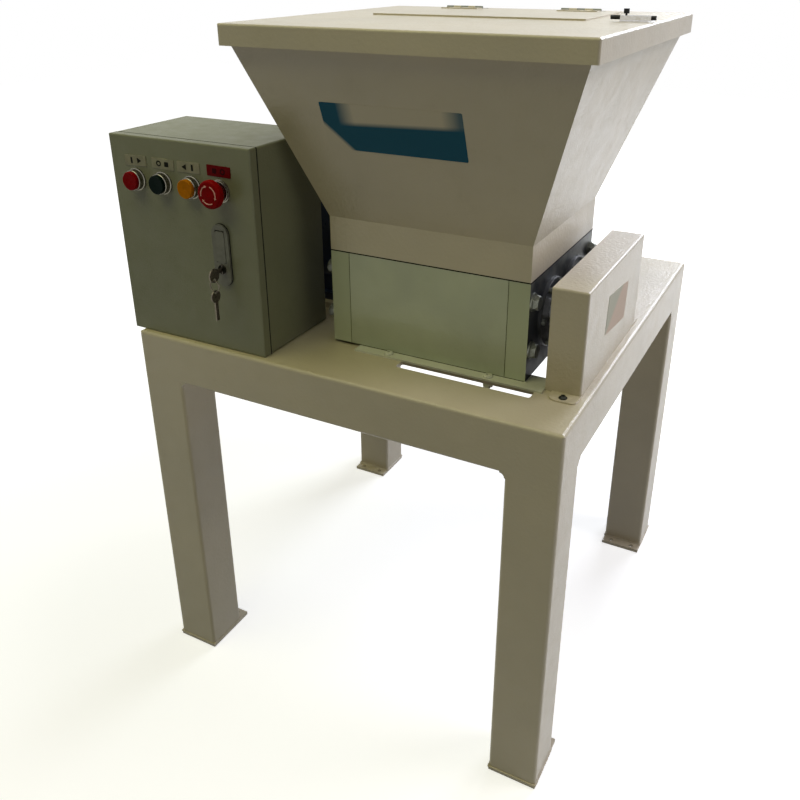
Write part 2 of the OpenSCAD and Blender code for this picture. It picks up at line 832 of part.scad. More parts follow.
// A shaft: the hexagon, a journal on each side and the seat of the gear with its key
module rotor_shaft() {
    hex_l = inner_l - 2*shaft_shoulder;
    translate([inner_x + shaft_shoulder, 0, 0]) rotate([90, 0, 90]) rotate(30) hex(hex_af, hex_l);
    translate([chamber_x + seat_gap, 0, 0]) bar_x(journal_r, gear_x - chamber_x - seat_gap);
    translate([gear_x - overrun, 0, 0]) bar_x(end_r, gear_w + overrun);
    translate([gear_x, -key_w/2, 0]) cube([gear_w*0.9, key_w, end_r + key_rise]);
    translate([gear_x + gear_w, 0, 0]) end_stop();
}

// The washer and bolt that hold what sits on a shaft's end, along +X
module end_stop() {
    bar_x(end_r*1.45, end_washer_t);
    translate([end_washer_t, 0, 0]) rotate([0, 90, 0]) hex(bolt_af, bolt_head_h);
}

module drive_shaft() {
    stub_x = gearbox_cx - gearbox_w/2 - run_fit;
    collar_x = chamber_x - cover_t - stub_gap*0.4;
    color("silver") translate([0, rear_y, rotor_z]) {
        rotor_shaft();
        translate([collar_x, 0, 0]) bar_x(journal_r, chamber_x + overrun - collar_x);
        translate([stub_x, 0, 0]) bar_x(end_r, collar_x - stub_x + overrun);
        translate([stub_x, 0, 0]) mirror([1, 0, 0]) end_stop();
    }
}

module driven_shaft() { color("silver") translate([0, front_y, rotor_z]) rotor_shaft(); }

module timing_gear() {
    along_x(gear_w - run_fit) difference() {
        polygon([for (k = [0:gear_teeth - 1]) each tooth(k*360/gear_teeth)]);
        circle(r = end_r + run_fit);
        translate([-key_w/2 - run_fit, 0]) square([key_w + 2*run_fit, end_r + key_rise + run_fit]);
    }
}

// The gears start with a tooth of one in a gap of the other
module drive_timing_gear() { color("slategray") translate([gear_x, rear_y, rotor_z]) timing_gear(); }
module driven_timing_gear() { color("slategray") translate([gear_x, front_y, rotor_z]) timing_gear(); }

// Outline of one fixing ear of the guard, from the guard's wall outwards
function ear_points(s) = let (r = ear_l/2, q = ear_l*0.3) concat(
    [[0, -s*guard_t]],
    [for (a = [0:15:90]) [r - r*cos(a), s*(r + r*sin(a))]],
    [for (a = [90:-15:0]) [ear_w - q + q*cos(a), s*(ear_l - q + q*sin(a))]],
    [[ear_w, -s*guard_t]]
);

// The guard over the timing gears
module gear_guard() {
    inner_h = guard_h - guard_t;
    color("wheat") translate([0, 0, table_h]) {
        difference() {
            translate([guard_x, guard_y, -guard_r]) rotate([90, 0, 90])
                folded(guard_d, guard_h + guard_r, guard_w, guard_r);
            translate([guard_x - overrun, guard_y + guard_t, -guard_r - overrun])
                cube([guard_w - guard_t + overrun, guard_d - 2*guard_t, inner_h + guard_r + overrun]);
            translate([guard_x - overrun, guard_y - overrun, -guard_r - overrun])
                cube([guard_w + 2*overrun, guard_d + 2*overrun, guard_r + overrun]);
        }
        for (s = [-1, 1]) translate([ear_x, guard_y + guard_d/2 + s*guard_d/2, 0])
            linear_extrude(ear_t) difference() {
                polygon(ear_points(s));
                translate([ear_w/2, s*ear_l*0.6]) circle(r = screw_r + slip_gap);
            }
    }
}

module guard_screws() {
    head = screw_r*1.9;
    color("silver")
    for (y = guard_screws_y) translate([guard_screw_x, y, table_h + ear_t]) difference() {
        union() {
            cylinder(r = head*1.2, h = head*0.2);
            translate([0, 0, head*0.2]) cylinder(r1 = head, r2 = head*0.65, h = head*0.6);
            translate([0, 0, -ear_t - top_t]) cylinder(r = screw_r, h = ear_t + top_t + head*0.2);
        }
        for (a = [0, 90]) rotate(a) translate([-head*0.5, -head*0.09, head*0.45])
            cube([head, head*0.18, head]);
    }
}

// Places of the four bolts of the gearbox's foot
module at_foot_bolts() {
    for (x = [-1, 1], y = [-1, 1]) translate([x*foot_bolt_x, y*foot_bolt_y, 0]) children();
}

// Places of the four bolts of the motor's flange, along +Y
module at_flange_bolts() {
    for (i = [0:3]) translate([0, casing_r + neck_l, worm_z]) rotate([0, 45 + i*90, 0])
        translate([flange_pcd_r, 0, 0]) children();
}

// The worm gearbox: a casing round the wheel, a barrel round the worm, and feet
module gearbox_casing() {
    rib_t = foot_flange_t/2;
    rib_x = (gearbox_w - casing_w)/2;
    color("midnightblue") translate([gearbox_cx, rear_y, table_h]) difference() {
        union() {
            translate([-casing_w/2, 0, 0]) along_x(casing_w) union() {
                translate([0, shaft_z]) circle(r = casing_r);
                translate([-casing_r, shaft_z]) square([2*casing_r, worm_rise*0.62]);
                translate([-casing_r*0.9, base_t]) square([casing_r*1.8, shaft_z - base_t]);
            }
            translate([0, -casing_r - neck_l, worm_z]) bar_y(worm_r, 2*(casing_r + neck_l));
            translate([0, -casing_r - neck_l*0.6, worm_z]) bar_y(worm_r*1.15, neck_l);
            translate([0, casing_r + neck_l, worm_z]) bar_y(flange_r, flange_t);
            translate([-gearbox_w/2, -casing_r*1.1, base_t]) cube([gearbox_w, casing_r*2.2, foot_flange_t]);
            for (s = [-1, 1], y = [-casing_r*0.74, casing_r*0.74 - rib_t])
                translate([s > 0 ? casing_w/2 - rib_t : -casing_w/2 - rib_x*0.7, y, base_t])
                    cube([rib_x*0.7 + rib_t, rib_t, shaft_z*0.4 - base_t]);
        }
        translate([-gearbox_w, 0, shaft_z]) bar_x(end_r + run_fit, 2*gearbox_w);
        at_foot_bolts() translate([0, 0, base_t - overrun])
            cylinder(r = small_r + seat_gap, h = foot_flange_t + 2*overrun);
        at_flange_bolts() translate([0, -overrun, 0]) bar_y(small_r + slip_gap, flange_t + 2*overrun);
    }
}

module gearbox_side_covers() {
    hub_l = gearbox_w/2 - casing_w/2;
    rim_r = min(casing_r*0.93, shaft_z - base_t - foot_flange_t - seat_gap);
    color("midnightblue")
    for (s = [-1, 1])
    translate([gearbox_cx + s*casing_w/2, rear_y, rotor_z]) rotate([0, s*90, 0]) difference() {
        rotate_extrude() polygon([
            [end_r + run_fit, 0],
            [rim_r, 0],
            [rim_r, hub_l*0.3],
            [rim_r - hub_l*0.1, hub_l*0.4],
            [hub_r*1.25, hub_l*0.5],
            [hub_r, hub_l],
            [end_r + run_fit, hub_l]
        ]);
        for (i = [0:5]) rotate([0, 0, 30 + i*60])
            translate([rim_r*0.87, 0, hub_l*0.3]) cylinder(r = screw_r*1.8, h = hub_l);
    }
}

module gearbox_base() {
    margin = foot_flange_t;
    w = gearbox_w + 2*margin;
    d = 2*(casing_r*1.1 + margin);
    color("wheat") translate([gearbox_cx, rear_y, table_h]) difference() {
        translate([-w/2, -d/2, 0]) linear_extrude(base_t) polygon(rounded(w, d, margin*0.6));
        at_foot_bolts() translate([0, 0, -overrun]) cylinder(r = small_r + seat_gap, h = base_t + 2*overrun);
    }
}

module gearbox_bolts() {
    color("silver") translate([gearbox_cx, rear_y, table_h]) {
        at_foot_bolts() translate([0, 0, base_t + foot_flange_t])
            through_bolt(base_t + foot_flange_t + top_t);
        at_flange_bolts() rotate([90, 0, 0])
            hex_bolt(small_af, small_r, 2*flange_t, small_head_h, small_washer_r, small_washer_t);
    }
}

// Outline of a finned barrel
function fin_points(n, low, high) = [for (k = [0:n - 1]) each [
    polar(low, 360/n*(k + 0.06)),
    polar(high, 360/n*(k + 0.14)),
    polar(high, 360/n*(k + 0.36)),
    polar(low, 360/n*(k + 0.44))
]];

// The motor: a flange, a finned body and a rear shield
module motor_body() {
    color("midnightblue") translate([gearbox_cx, rear_y, table_h]) difference() {
        union() {
            translate([0, casing_r + neck_l + flange_t, worm_z]) bar_y(flange_r, flange_t);
            translate([0, motor_y - rear_y, worm_z]) {
                bar_y(motor_r - fin_h*1.3, motor_l*0.12);
                translate([0, motor_l*0.1, 0]) along_y(motor_l*0.8) union() {
                    polygon(fin_points(fins, motor_r - fin_h, motor_r));
                    translate([-terminal_w*0.4, 0]) square([terminal_w*0.8, terminal_z]);
                }
                translate([0, motor_l*0.9 - overrun, 0]) bar_y(shield_r, motor_l*0.1 + overrun);
            }
        }
        translate([0, motor_y - rear_y + motor_l/2, worm_z]) bar_y(fan_shaft_r + run_fit, motor_l);
        at_flange_bolts() translate([0, flange_t - overrun, 0]) bar_y(small_r + slip_gap, flange_t + overrun);
    }
}

module motor_fan() {
    color("black") translate([gearbox_cx, fan_y, table_h + worm_z]) {
        translate([0, -motor_l*0.4, 0]) bar_y(fan_shaft_r, motor_l*0.4 + fan_cover_l*0.2);
        translate([0, fan_cover_l*0.18, 0]) {
            bar_y(fan_r*0.36, fan_w);
            bar_y(fan_r, blade_t);
            for (i = [0:fan_blades - 1]) rotate([0, i*360/fan_blades, 0])
                translate([fan_r*0.3, 0, -blade_t/2]) cube([fan_r*0.68, fan_w, blade_t]);
        }
    }
}

module motor_fan_cover() {
    outer_r = shield_r + fan_cover_t + slip_gap;
    edge_r = fan_cover_l*0.15;
    lap = motor_l*0.08;
    end_y = fan_cover_l + lap;
    color("midnightblue") translate([gearbox_cx, fan_y - lap, table_h + worm_z]) difference() {
        rotate([-90, 0, 0]) rotate_extrude() polygon(concat(
            [[shield_r + slip_gap, 0]],
            [[outer_r, 0]],
            arc([outer_r - edge_r, end_y - edge_r], edge_r, 0, 90, 6),
            [[0, end_y]],
            [[0, end_y - fan_cover_t]],
            arc([outer_r - edge_r, end_y - edge_r], edge_r - fan_cover_t, 90, 0, 6)
        ));
        for (ring = [0:2], i = [0:11]) rotate([0, i*30 + ring*10, 0])
            translate([fan_r*(0.36 + ring*0.24), end_y - 2*fan_cover_t, -fan_r*(0.05 + ring*0.035)])
                cube([fan_r*0.17, 4*fan_cover_t, fan_r*(0.1 + ring*0.07)]);
    }
}

module motor_terminal_box() {
    lid_side = terminal_w*1.05;
    edge_r = terminal_w*0.07;
    color("midnightblue") translate([gearbox_cx, motor_y + motor_l*0.47, table_h + worm_z + terminal_z]) {
        translate([-terminal_w/2, -terminal_w/2, 0]) linear_extrude(terminal_h*0.74)
            polygon(rounded(terminal_w, terminal_w, edge_r));
        translate([-lid_side/2, -lid_side/2, terminal_h*0.74]) linear_extrude(terminal_h*0.26)
            polygon(rounded(lid_side, lid_side, edge_r*1.3));
        for (x = [-1, 1], y = [-1, 1]) translate([x*terminal_w*0.42, y*terminal_w*0.42, terminal_h])
            cylinder(r = screw_head_r, h = screw_head_h*0.6);
        translate([-terminal_w/2, 0, terminal_h*0.36]) rotate([0, -90, 0]) gland();
    }
}

// The hopper: four bent and mitred panels under a folded cover
levels = [chamber_top, skirt_top, panel_top];
plan_low = [chamber_l/2, chamber_d/2];
plan_top = [hopper_w/2 - panel_in, hopper_d/2 - panel_in];
function half_plan(i, inset) = (i < 2 ? plan_low : plan_top) - [inset, inset];

// The corners of a wall on the side that the turn q gives, between its two mitred ends
function wall_points(q) = [for (i = [0:2], inset = [0, hopper_t], s = [-1, 1])
    let (h = half_plan(i, inset))
    q == 0 ? [s*h[0], -h[1], levels[i]] : q == 1 ? [h[0], s*h[1], levels[i]] :
    q == 2 ? [-s*h[0], h[1], levels[i]] : [-h[0], -s*h[1], levels[i]]
];
wall_faces = [
    [4, 5, 1, 0], [8, 9, 5, 4], [7, 6, 2, 3], [11, 10, 6, 7],
    [0, 1, 3, 2], [10, 11, 9, 8],
    [2, 6, 4, 0], [6, 10, 8, 4], [5, 7, 3, 1], [9, 11, 7, 5]
];

module hopper_wall(q) {
    translate([chamber_cx, chamber_cy, table_h]) polyhedron(points = wall_points(q), faces = wall_faces);
}

module hopper_front_panel() { color("wheat") hopper_wall(0); }
module hopper_right_panel() { color("wheat") hopper_wall(1); }
module hopper_rear_panel() { color("wheat") hopper_wall(2); }
module hopper_left_panel() { color("wheat") hopper_wall(3); }

module hopper_cover() {
    edge_r = cover_sheet*1.5;
    color("wheat") difference() {
        translate([hopper_x, hopper_y, deck_z - rim_h]) folded(hopper_w, hopper_d, rim_h, edge_r);
        translate([hopper_x + cover_sheet, hopper_y + cover_sheet, deck_z - rim_h - overrun])
            cube([hopper_w - 2*cover_sheet, hopper_d - 2*cover_sheet, rim_h - cover_sheet + overrun]);
        translate([lid_x + lid_lap, lid_y + lid_lap, deck_z - rim_h])
            cube([lid_w - 2*lid_lap, lid_d - 2*lid_lap, 2*rim_h]);
    }
}

// Every second barrel of a hinge, starting from the first or the second
module hinge_barrels(first) {
    for (i = [first:2:knuckles - 1])
        translate([-hinge_l/2 + i*knuckle_l + slip_gap, 0, 0]) bar_x(knuckle_r, knuckle_l - 2*slip_gap);
}

// The webs between a leaf and its barrels
module hinge_webs(first, l, h) {
    for (i = [first:2:knuckles - 1])
        translate([-hinge_l/2 + i*knuckle_l + slip_gap, 0, 0]) cube([knuckle_l - 2*slip_gap, l, h]);
}

module feed_lid() {
    leaf_z = deck_z + lid_t - slip_gap;
    leaf_back = knuckle_r + 2*seat_gap;
    color("wheat") difference() {
        union() {
            translate([lid_x, lid_y, deck_z]) linear_extrude(lid_t) polygon(rounded(lid_w, lid_d, lid_t));
            for (x = hinge_places) translate([x, 0, 0]) {
                translate([0, hinge_y, hinge_z]) hinge_barrels(1);
                translate([0, hinge_y - leaf_w, leaf_z]) hinge_webs(1, leaf_w - knuckle_r/2, leaf_t);
                translate([-hinge_l/2, hinge_y - leaf_w, leaf_z]) cube([hinge_l, leaf_w - leaf_back, leaf_t]);
                for (s = [-1, 0, 1]) translate([s*hinge_l*0.36, hinge_y - leaf_w*0.62, leaf_z])
                    cylinder(r = leaf_t*1.6, h = leaf_t*1.5);
            }
        }
        for (x = hinge_places) translate([x - hinge_l, hinge_y, hinge_z]) bar_x(pin_r + run_fit, 2*hinge_l);
    }
}

module lid_hinges() {
    leaf_back = knuckle_r + 2*seat_gap;
    color("silver")
    for (x = hinge_places) translate([x, hinge_y, 0]) {
        translate([-hinge_l/2 + slip_gap, 0, hinge_z]) bar_x(pin_r, hinge_l - 2*slip_gap);
        translate([0, 0, hinge_z]) hinge_barrels(0);
        translate([0, knuckle_r/2, deck_z]) hinge_webs(0, leaf_back, leaf_t);
        translate([-hinge_l/2, leaf_back, deck_z]) cube([hinge_l, leaf_w - leaf_back, leaf_t]);
        for (s = [-1, 0, 1]) translate([s*hinge_l*0.36, leaf_w*0.62, deck_z])
            cylinder(r = leaf_t*1.6, h = leaf_t*1.5);
    }
}

// The latch that holds the lid: a plate with a guide open on top, and a bolt that slides over the lid
module latch_base() {
    guide_h = latch_z + latch_r - deck_z;
    plate_w = 3*guide_w;
    color("silver") difference() {
        translate([guide_x, latch_y, deck_z]) {
            translate([0, -guide_w, 0]) linear_extrude(guide_plate_t)
                polygon(rounded(guide_l, plate_w, latch_r));
            translate([0, -guide_w/2, 0]) cube([guide_l, guide_w, guide_h]);
            for (x = [0.2, 0.8]) translate([x*guide_l, plate_w*0.48, 0])
                cylinder(r = latch_r*1.3, h = guide_plate_t*2);
        }
        translate([guide_x - overrun, latch_y, latch_z]) bar_x(latch_r + run_fit, guide_l + 2*overrun);
        translate([guide_x - overrun, latch_y - latch_r*0.6, latch_z])
            cube([guide_l + 2*overrun, latch_r*1.2, latch_r + overrun]);
    }
}

module latch_bolt() {
    color("silver") translate([latch_tip_x, latch_y, latch_z]) {
        bar_x(latch_r, latch_l);
        translate([latch_l*0.34, 0, 0]) {
            cylinder(r = latch_r*0.5, h = knob_h);
            translate([0, 0, knob_h*0.45]) cylinder(r = knob_r, h = knob_h*0.55);
        }
    }
}

// The control box
module box_body() {
    inner_w = box_w - 2*box_t;
    inner_h = box_h - 2*box_t;
    color("lightgray") difference() {
        translate([box_x, body_y, table_h]) along_y(body_d) polygon(rounded(box_w, box_h, box_r));
        translate([box_x + box_t, body_y + box_t, table_h + box_t]) along_y(body_d - 2*box_t)
            polygon(rounded(inner_w, inner_h, box_r - box_t));
        translate([box_x + lip_w, body_y - overrun, table_h + lip_w])
            cube([box_w - 2*lip_w, box_t + 2*overrun, box_h - 2*lip_w]);
        for (x = gland_places) translate([x, body_y + body_d - box_t - overrun, table_h + gland_z])
            bar_y(gland_r + seat_gap, box_t + 2*overrun);
    }
}

module box_door() {
    inner_w = box_w - 2*box_t;
    inner_h = box_h - 2*box_t;
    color("lightgray") difference() {
        union() {
            translate([box_x, box_y, table_h]) difference() {
                translate([0, door_t, 0]) rotate([90, 0, 0]) folded(box_w, box_h, door_t, box_r*0.6);
                translate([box_t, box_t, box_t]) cube([inner_w, door_t - 2*box_t, inner_h]);
                translate([fold_w, box_t, fold_w]) cube([box_w - 2*fold_w, door_t, box_h - 2*fold_w]);
                for (z = lug_places) translate([-overrun, box_t, z - overrun])
                    cube([fold_w + 2*overrun, door_t, lug_h + 2*overrun]);
            }
            for (z = lug_places) translate([pin_x - box_t/2, box_y + box_t/2, table_h + z + lug_h + slip_gap])
                cube([lug_w, door_t - 2*box_t, lug_h]);
        }
        for (z = lug_places) translate([pin_x, pin_y, table_h + z + lug_h])
            cylinder(r = door_pin_r + run_fit, h = lug_h + overrun);
        for (x = concat(button_x, [estop_x])) translate([box_x + x, box_y - overrun, table_h + button_z])
            bar_y(thread_r + slip_gap, box_t + 2*overrun);
        translate([box_x + lock_x, box_y - overrun, table_h + lock_z]) along_y(box_t + 2*overrun)
            translate([-lock_w*0.36, -lock_l*0.43]) square([lock_w*0.72, lock_l*0.86]);
    }
}

module door_gasket() {
    inset = gasket_in;
    color("black") translate([box_x + inset, body_y - door_seam*0.8, table_h + inset]) difference() {
        cube([box_w - 2*inset, door_seam*0.8, box_h - 2*inset]);
        translate([gasket_w, -overrun, gasket_w])
            cube([box_w - 2*inset - 2*gasket_w, door_seam + 2*overrun, box_h - 2*inset - 2*gasket_w]);
        for (z = lug_places) translate([-inset - overrun, -overrun, z - inset - overrun])
            cube([lug_w + 2*inset + overrun, door_seam + 2*overrun, lug_h + 2*overrun]);
    }
}

module door_hinges() {
    color("silver")
    for (z = lug_places) translate([pin_x, 0, table_h + z]) {
        translate([-box_t, pin_y - 2*box_t, 0]) cube([lug_w, body_y - pin_y + 2*box_t, lug_h]);
        translate([0, pin_y, 0]) cylinder(r = door_pin_r, h = 2*lug_h);
    }
}

// A bezel with its thread through the door, turned round the -Y axis
function bezel_points(h, floor_h) = [
    [stem_r + slip_gap, -stem_end],
    [thread_r, -stem_end],
    [thread_r, 0],
    [bezel_r, 0],
    [bezel_r, h*0.2],
    [bezel_r*0.93, h*0.26],
    [bezel_r*0.91, h*0.92],
    [bezel_r*0.87, h],
    [floor_h < h ? cap_r + slip_gap : stem_r + slip_gap, h],
    [floor_h < h ? cap_r + slip_gap : stem_r + slip_gap, floor_h < h ? floor_h : h*0.9],
    [stem_r + slip_gap, floor_h < h ? floor_h : h*0.8]
];

// Puts its children on the door at a place across it, with +Z out of the door
module on_door(x, z) { translate([box_x + x, box_y, table_h + z]) rotate([90, 0, 0]) children(); }

module button_bezels() {
    color("silver") {
        for (x = button_x) on_door(x, button_z) rotate_extrude() polygon(bezel_points(bezel_h, bezel_h*0.3));
        on_door(estop_x, button_z) rotate_extrude() polygon(bezel_points(bezel_h*0.4, bezel_h*0.4));
    }
}

// A cap with its stem, at rest standing out of the bezel
module push_cap() {
    low = bezel_h*0.3 + button_travel + seat_gap;
    high = bezel_h + cap_out;
    rotate_extrude() polygon([
        [0, -stem_end],
        [stem_r, -stem_end],
        [stem_r, low],
        [cap_r, low],
        [cap_r, high - cap_out*0.15],
        [cap_r*0.93, high],
        [0, high - cap_out*0.1]
    ]);
}

module start_button() { color("crimson") on_door(button_x[0], button_z) push_cap(); }
module stop_button() { color("black") on_door(button_x[1], button_z) push_cap(); }
module reverse_button() { color("orange") on_door(button_x[2], button_z) push_cap(); }

module emergency_stop() {
    low = bezel_h*0.4 + estop_travel + seat_gap;
    crown = estop_out*0.14;
    color("red") on_door(estop_x, button_z) rotate_extrude() polygon(concat(
        [[0, -stem_end]],
        [[stem_r, -stem_end]],
        [[stem_r, low]],
        [[estop_r*0.62, low]],
        [[estop_r*0.72, estop_out*0.56]],
        [[estop_r*0.95, estop_out*0.6]],
        [[estop_r, estop_out*0.66]],
        [for (a = [0:15:75]) [estop_r - crown*(1 - cos(a)), estop_out*0.84 + crown*sin(a)]],
        [[estop_r*0.6, estop_out*0.985]],
        [[0, estop_out]]
    ));
}

module contact_blocks() {
    start = stem_end + estop_travel + seat_gap;
    nut = thread_r*0.4;
    color("dimgray")
    for (x = concat(button_x, [estop_x])) translate([box_x + x, box_y, table_h + button_z]) {
        translate([-block_w/2, start, -block_w/2]) cube([block_w, block_l, block_w]);
        difference() {
            translate([0, box_t, 0]) rotate([-90, 0, 0]) hex(thread_r*2.4, nut);
            bar_y(thread_r + slip_gap, block_l);
        }
        for (s = [-1, 1]) translate([s*thread_r*1.14 - nut/4, box_t + nut/2, -block_w/4])
            cube([nut/2, start - box_t, block_w/2]);
    }
}

// The lock on the door: a plate with the handle's recess and the barrel's bore
module lock_plate() {
    color("gray") translate([box_x + lock_x, box_y, table_h + lock_z]) difference() {
        union() {
            translate([-lock_w/2, -lock_t, -lock_l/2]) along_y(lock_t)
                polygon(rounded(lock_w, lock_l, lock_w/2, 12));
            translate([-lock_w*0.34, -slip_gap, -lock_l*0.42]) cube([lock_w*0.68, lock_in, lock_l*0.84]);
        }
        translate([-recess_w/2 - handle_pin_r, handle_pin_y, handle_pin_z])
            bar_x(handle_pin_r + run_fit, recess_w + 2*handle_pin_r);
        translate([0, -lock_t - overrun, -key_drop]) bar_y(barrel_r + run_fit, lock_t + lock_in + 2*overrun);
        translate([-recess_w/2, -lock_t - overrun, handle_z])
            cube([recess_w, lock_t + lock_in*0.6 + overrun, handle_l]);
    }
}

// The handle swings out on a pin across the top of its recess
module lock_handle() {
    w = recess_w - 2*seat_gap;
    l = handle_l - seat_gap - handle_gap;
    color("dimgray") translate([box_x + lock_x, box_y, table_h + lock_z]) {
        translate([-w/2, handle_pin_y - handle_t/2, handle_z + seat_gap]) along_y(handle_t)
            polygon(rounded(w, l, w*0.2));
        translate([-recess_w/2 - handle_pin_r + run_fit, handle_pin_y, handle_pin_z])
            bar_x(handle_pin_r, recess_w + 2*handle_pin_r - 2*run_fit);
    }
}

// The barrel with its cam, and the key in it: its bow stands out of the door
module lock_key() {
    neck = key_reach + bow_r;
    color("silver") translate([box_x + lock_x, box_y - lock_t, table_h + lock_z - key_drop]) {
        translate([0, -lock_t*0.3, 0]) bar_y(barrel_r, barrel_l + lock_t*0.3 + cam_t);
        translate([-cam_w/2, barrel_l, -cam_l]) cube([cam_w, cam_t, cam_l]);
        translate([-key_t/2, -lock_t*0.2, 0]) along_x(key_t) difference() {
            union() {
                translate([-neck, -bow_r*0.35]) circle(r = bow_r);
                translate([-neck, -bow_r*0.3]) square([neck, bow_r*0.6]);
            }
            translate([-neck - bow_r*0.1, -bow_r*0.95]) circle(r = key_pin_r);
        }
    }
}

module spare_key() {
    hole_y = box_y - lock_t*1.2 - key_reach - bow_r*1.1;
    color("silver") translate([box_x + lock_x, hole_y, table_h + lock_z - key_drop - bow_r*0.95]) {
        translate([0, 0, -ring_r - hang]) rotate([90, 0, 0]) rotate_extrude()
            translate([ring_r, 0]) circle(r = ring_wire_r);
        translate([-key_t/2, 0, -2*ring_r - 2*hang]) along_x(key_t) difference() {
            union() {
                translate([0, -bow_r*0.6]) circle(r = bow_r*0.9);
                translate([-bow_r*0.3, -bow_r*4.2]) square([bow_r*0.6, bow_r*3]);
            }
            circle(r = key_pin_r);
        }
    }
}

// What the box holds
module mounting_plate() {
    y = body_y + body_d - box_t - plate_gap;
    color("gainsboro") {
        translate([box_x + 2*lip_w, y - plate_sheet, table_h + 2*lip_w])
            cube([box_w - 4*lip_w, plate_sheet, box_h - 4*lip_w]);
        for (x = [box_x + 3*lip_w, box_x + box_w - 3*lip_w], z = [2.6*lip_w, box_h - 2.6*lip_w])
            translate([x, y - plate_sheet/2, table_h + z]) bar_y(screw_r, plate_gap + plate_sheet/2);
    }
}

// Two rails with three contactors on the upper and a row of modules on the lower
module switchgear() {
    y = body_y + body_d - box_t - plate_gap - plate_sheet;
    l = box_w*0.75;
    unit = l/3.6;
    color("lightgray") {
        translate([box_x + box_w/2 - l/2, y - plate_gap, table_h]) {
            for (z = [0.32, 0.62]) translate([0, 0, z*box_h]) cube([l, plate_gap, unit*0.4]);
            for (i = [0:2]) translate([unit*(0.15 + i*1.15), -unit, box_h*0.62 - unit*0.45]) {
                cube([unit, unit*1.05, unit*1.3]);
                translate([unit*0.15, -unit*0.15, unit*0.3]) cube([unit*0.7, unit*0.2, unit*0.7]);
            }
            for (i = [0:8]) translate([unit*(0.18 + i*0.36), -unit*0.7, box_h*0.32 - unit*0.3])
                cube([unit*0.33, unit*0.75, unit]);
        }
    }
}

// A cable gland on a wall at the origin, its head along +Z
module gland() {
    translate([0, 0, -gland_r*0.6]) cylinder(r = gland_r, h = gland_r*0.7);
    hex(gland_r*2.5, gland_r/2);
    translate([0, 0, gland_r/2]) rotate_extrude() polygon([
        [0, 0],
        [gland_r*1.1, 0],
        [gland_r*1.1, gland_r*0.8],
        [gland_r*0.8, gland_r*1.4],
        [gland_r*0.5, gland_r*1.6],
        [0, gland_r*1.6]
    ]);
}

module cable_glands() {
    color("dimgray")
    for (x = gland_places) translate([x, body_y + body_d, table_h + gland_z]) rotate([-90, 0, 0]) gland();
}

legs();
foot_plates();
apron_rails();
table_top();
chamber_end_left();
chamber_end_right();
chamber_front_plate();
chamber_rear_plate();
chamber_bolts();
foot_bars();
foot_bar_bolts();
scraper_fingers();
bearings();
bearing_covers();
bearing_cover_screws();
drive_shaft();
driven_shaft();
drive_cutters();
driven_cutters();
drive_spacers();
driven_spacers();
drive_timing_gear();
driven_timing_gear();
gear_guard();
guard_screws();
gearbox_casing();
gearbox_side_covers();
gearbox_base();
gearbox_bolts();
motor_body();
motor_fan();
motor_fan_cover();
motor_terminal_box();
hopper_front_panel();
hopper_rear_panel();
hopper_left_panel();
hopper_right_panel();
hopper_cover();
feed_lid();
lid_hinges();
latch_base();
latch_bolt();
box_body();
box_door();
door_gasket();
door_hinges();
button_bezels();
start_button();
stop_button();
reverse_button();
emergency_stop();
contact_blocks();
lock_plate();
lock_handle();
lock_key();
spare_key();
mounting_plate();
switchgear();
cable_glands();
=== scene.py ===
"""Dresses a dual-shaft shredder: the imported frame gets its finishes, labels, seams and a plain studio."""

import json
import math

import bmesh
import bpy
from mathutils import Matrix, Vector, noise


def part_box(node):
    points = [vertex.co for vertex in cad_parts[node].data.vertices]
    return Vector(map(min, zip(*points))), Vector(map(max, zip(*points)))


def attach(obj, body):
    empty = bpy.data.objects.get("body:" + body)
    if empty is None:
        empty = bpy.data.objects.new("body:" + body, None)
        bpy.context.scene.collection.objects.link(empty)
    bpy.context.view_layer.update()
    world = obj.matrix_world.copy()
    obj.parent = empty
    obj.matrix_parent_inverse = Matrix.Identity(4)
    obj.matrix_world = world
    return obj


bl_info = {
    "name": "Dual-shaft shredder",
    "version": (1, 0, 0),
    "blender": (4, 5, 0),
    "location": "View3D > Sidebar > Shredder",
    "description": "Finishes and small parts for a dual-shaft shredder on a tube table",
    "category": "Object",
}

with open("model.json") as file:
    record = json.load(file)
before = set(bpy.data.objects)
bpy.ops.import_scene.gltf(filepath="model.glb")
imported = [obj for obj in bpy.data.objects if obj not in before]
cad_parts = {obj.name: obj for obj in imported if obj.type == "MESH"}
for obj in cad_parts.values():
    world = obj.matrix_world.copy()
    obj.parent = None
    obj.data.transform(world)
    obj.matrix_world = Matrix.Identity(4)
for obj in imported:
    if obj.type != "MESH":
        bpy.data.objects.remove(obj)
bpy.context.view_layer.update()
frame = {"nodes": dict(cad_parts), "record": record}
MM = 0.001
TABLE_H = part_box("table_top")[1].z
LEG_W = 75 * MM


# --- sizes and colours that a user may change ---


def length(name, description, default, low=0.0):
    """A length in metres."""
    return bpy.props.FloatProperty(
        name=name, description=description, default=default, min=low, precision=4, unit="LENGTH"
    )


def hex_colour(name, description, default):
    """A colour written as six sRGB hex digits."""
    return bpy.props.StringProperty(name=name, description=description, default=default, maxlen=6)


class ShredderPaint(bpy.types.PropertyGroup):
    """Colours of the paints and plastics, as sRGB hex."""

    ivory: hex_colour("Ivory", "Powder coat on the table, the hopper and the guard", "CFC5AE")
    pebble: hex_colour("Pebble grey", "Powder coat on the control box", "85876F")
    sage: hex_colour("Sage", "Enamel on the chamber's side plates and foot bars", "BFC7AC")
    navy: hex_colour("Navy", "Machine enamel on the gearbox and motor", "1B2A4A")
    plate: hex_colour("End plates", "Blackened steel of the end plates", "2B3038")
    red: hex_colour("Red", "Start button and emergency stop", "A0080C")
    green: hex_colour("Dark green", "Stop button", "051A15")
    amber: hex_colour("Amber", "Reverse button", "E08A10")
    sticker: hex_colour("Sticker blue", "Plain vinyl sticker on the hopper", "145A78")


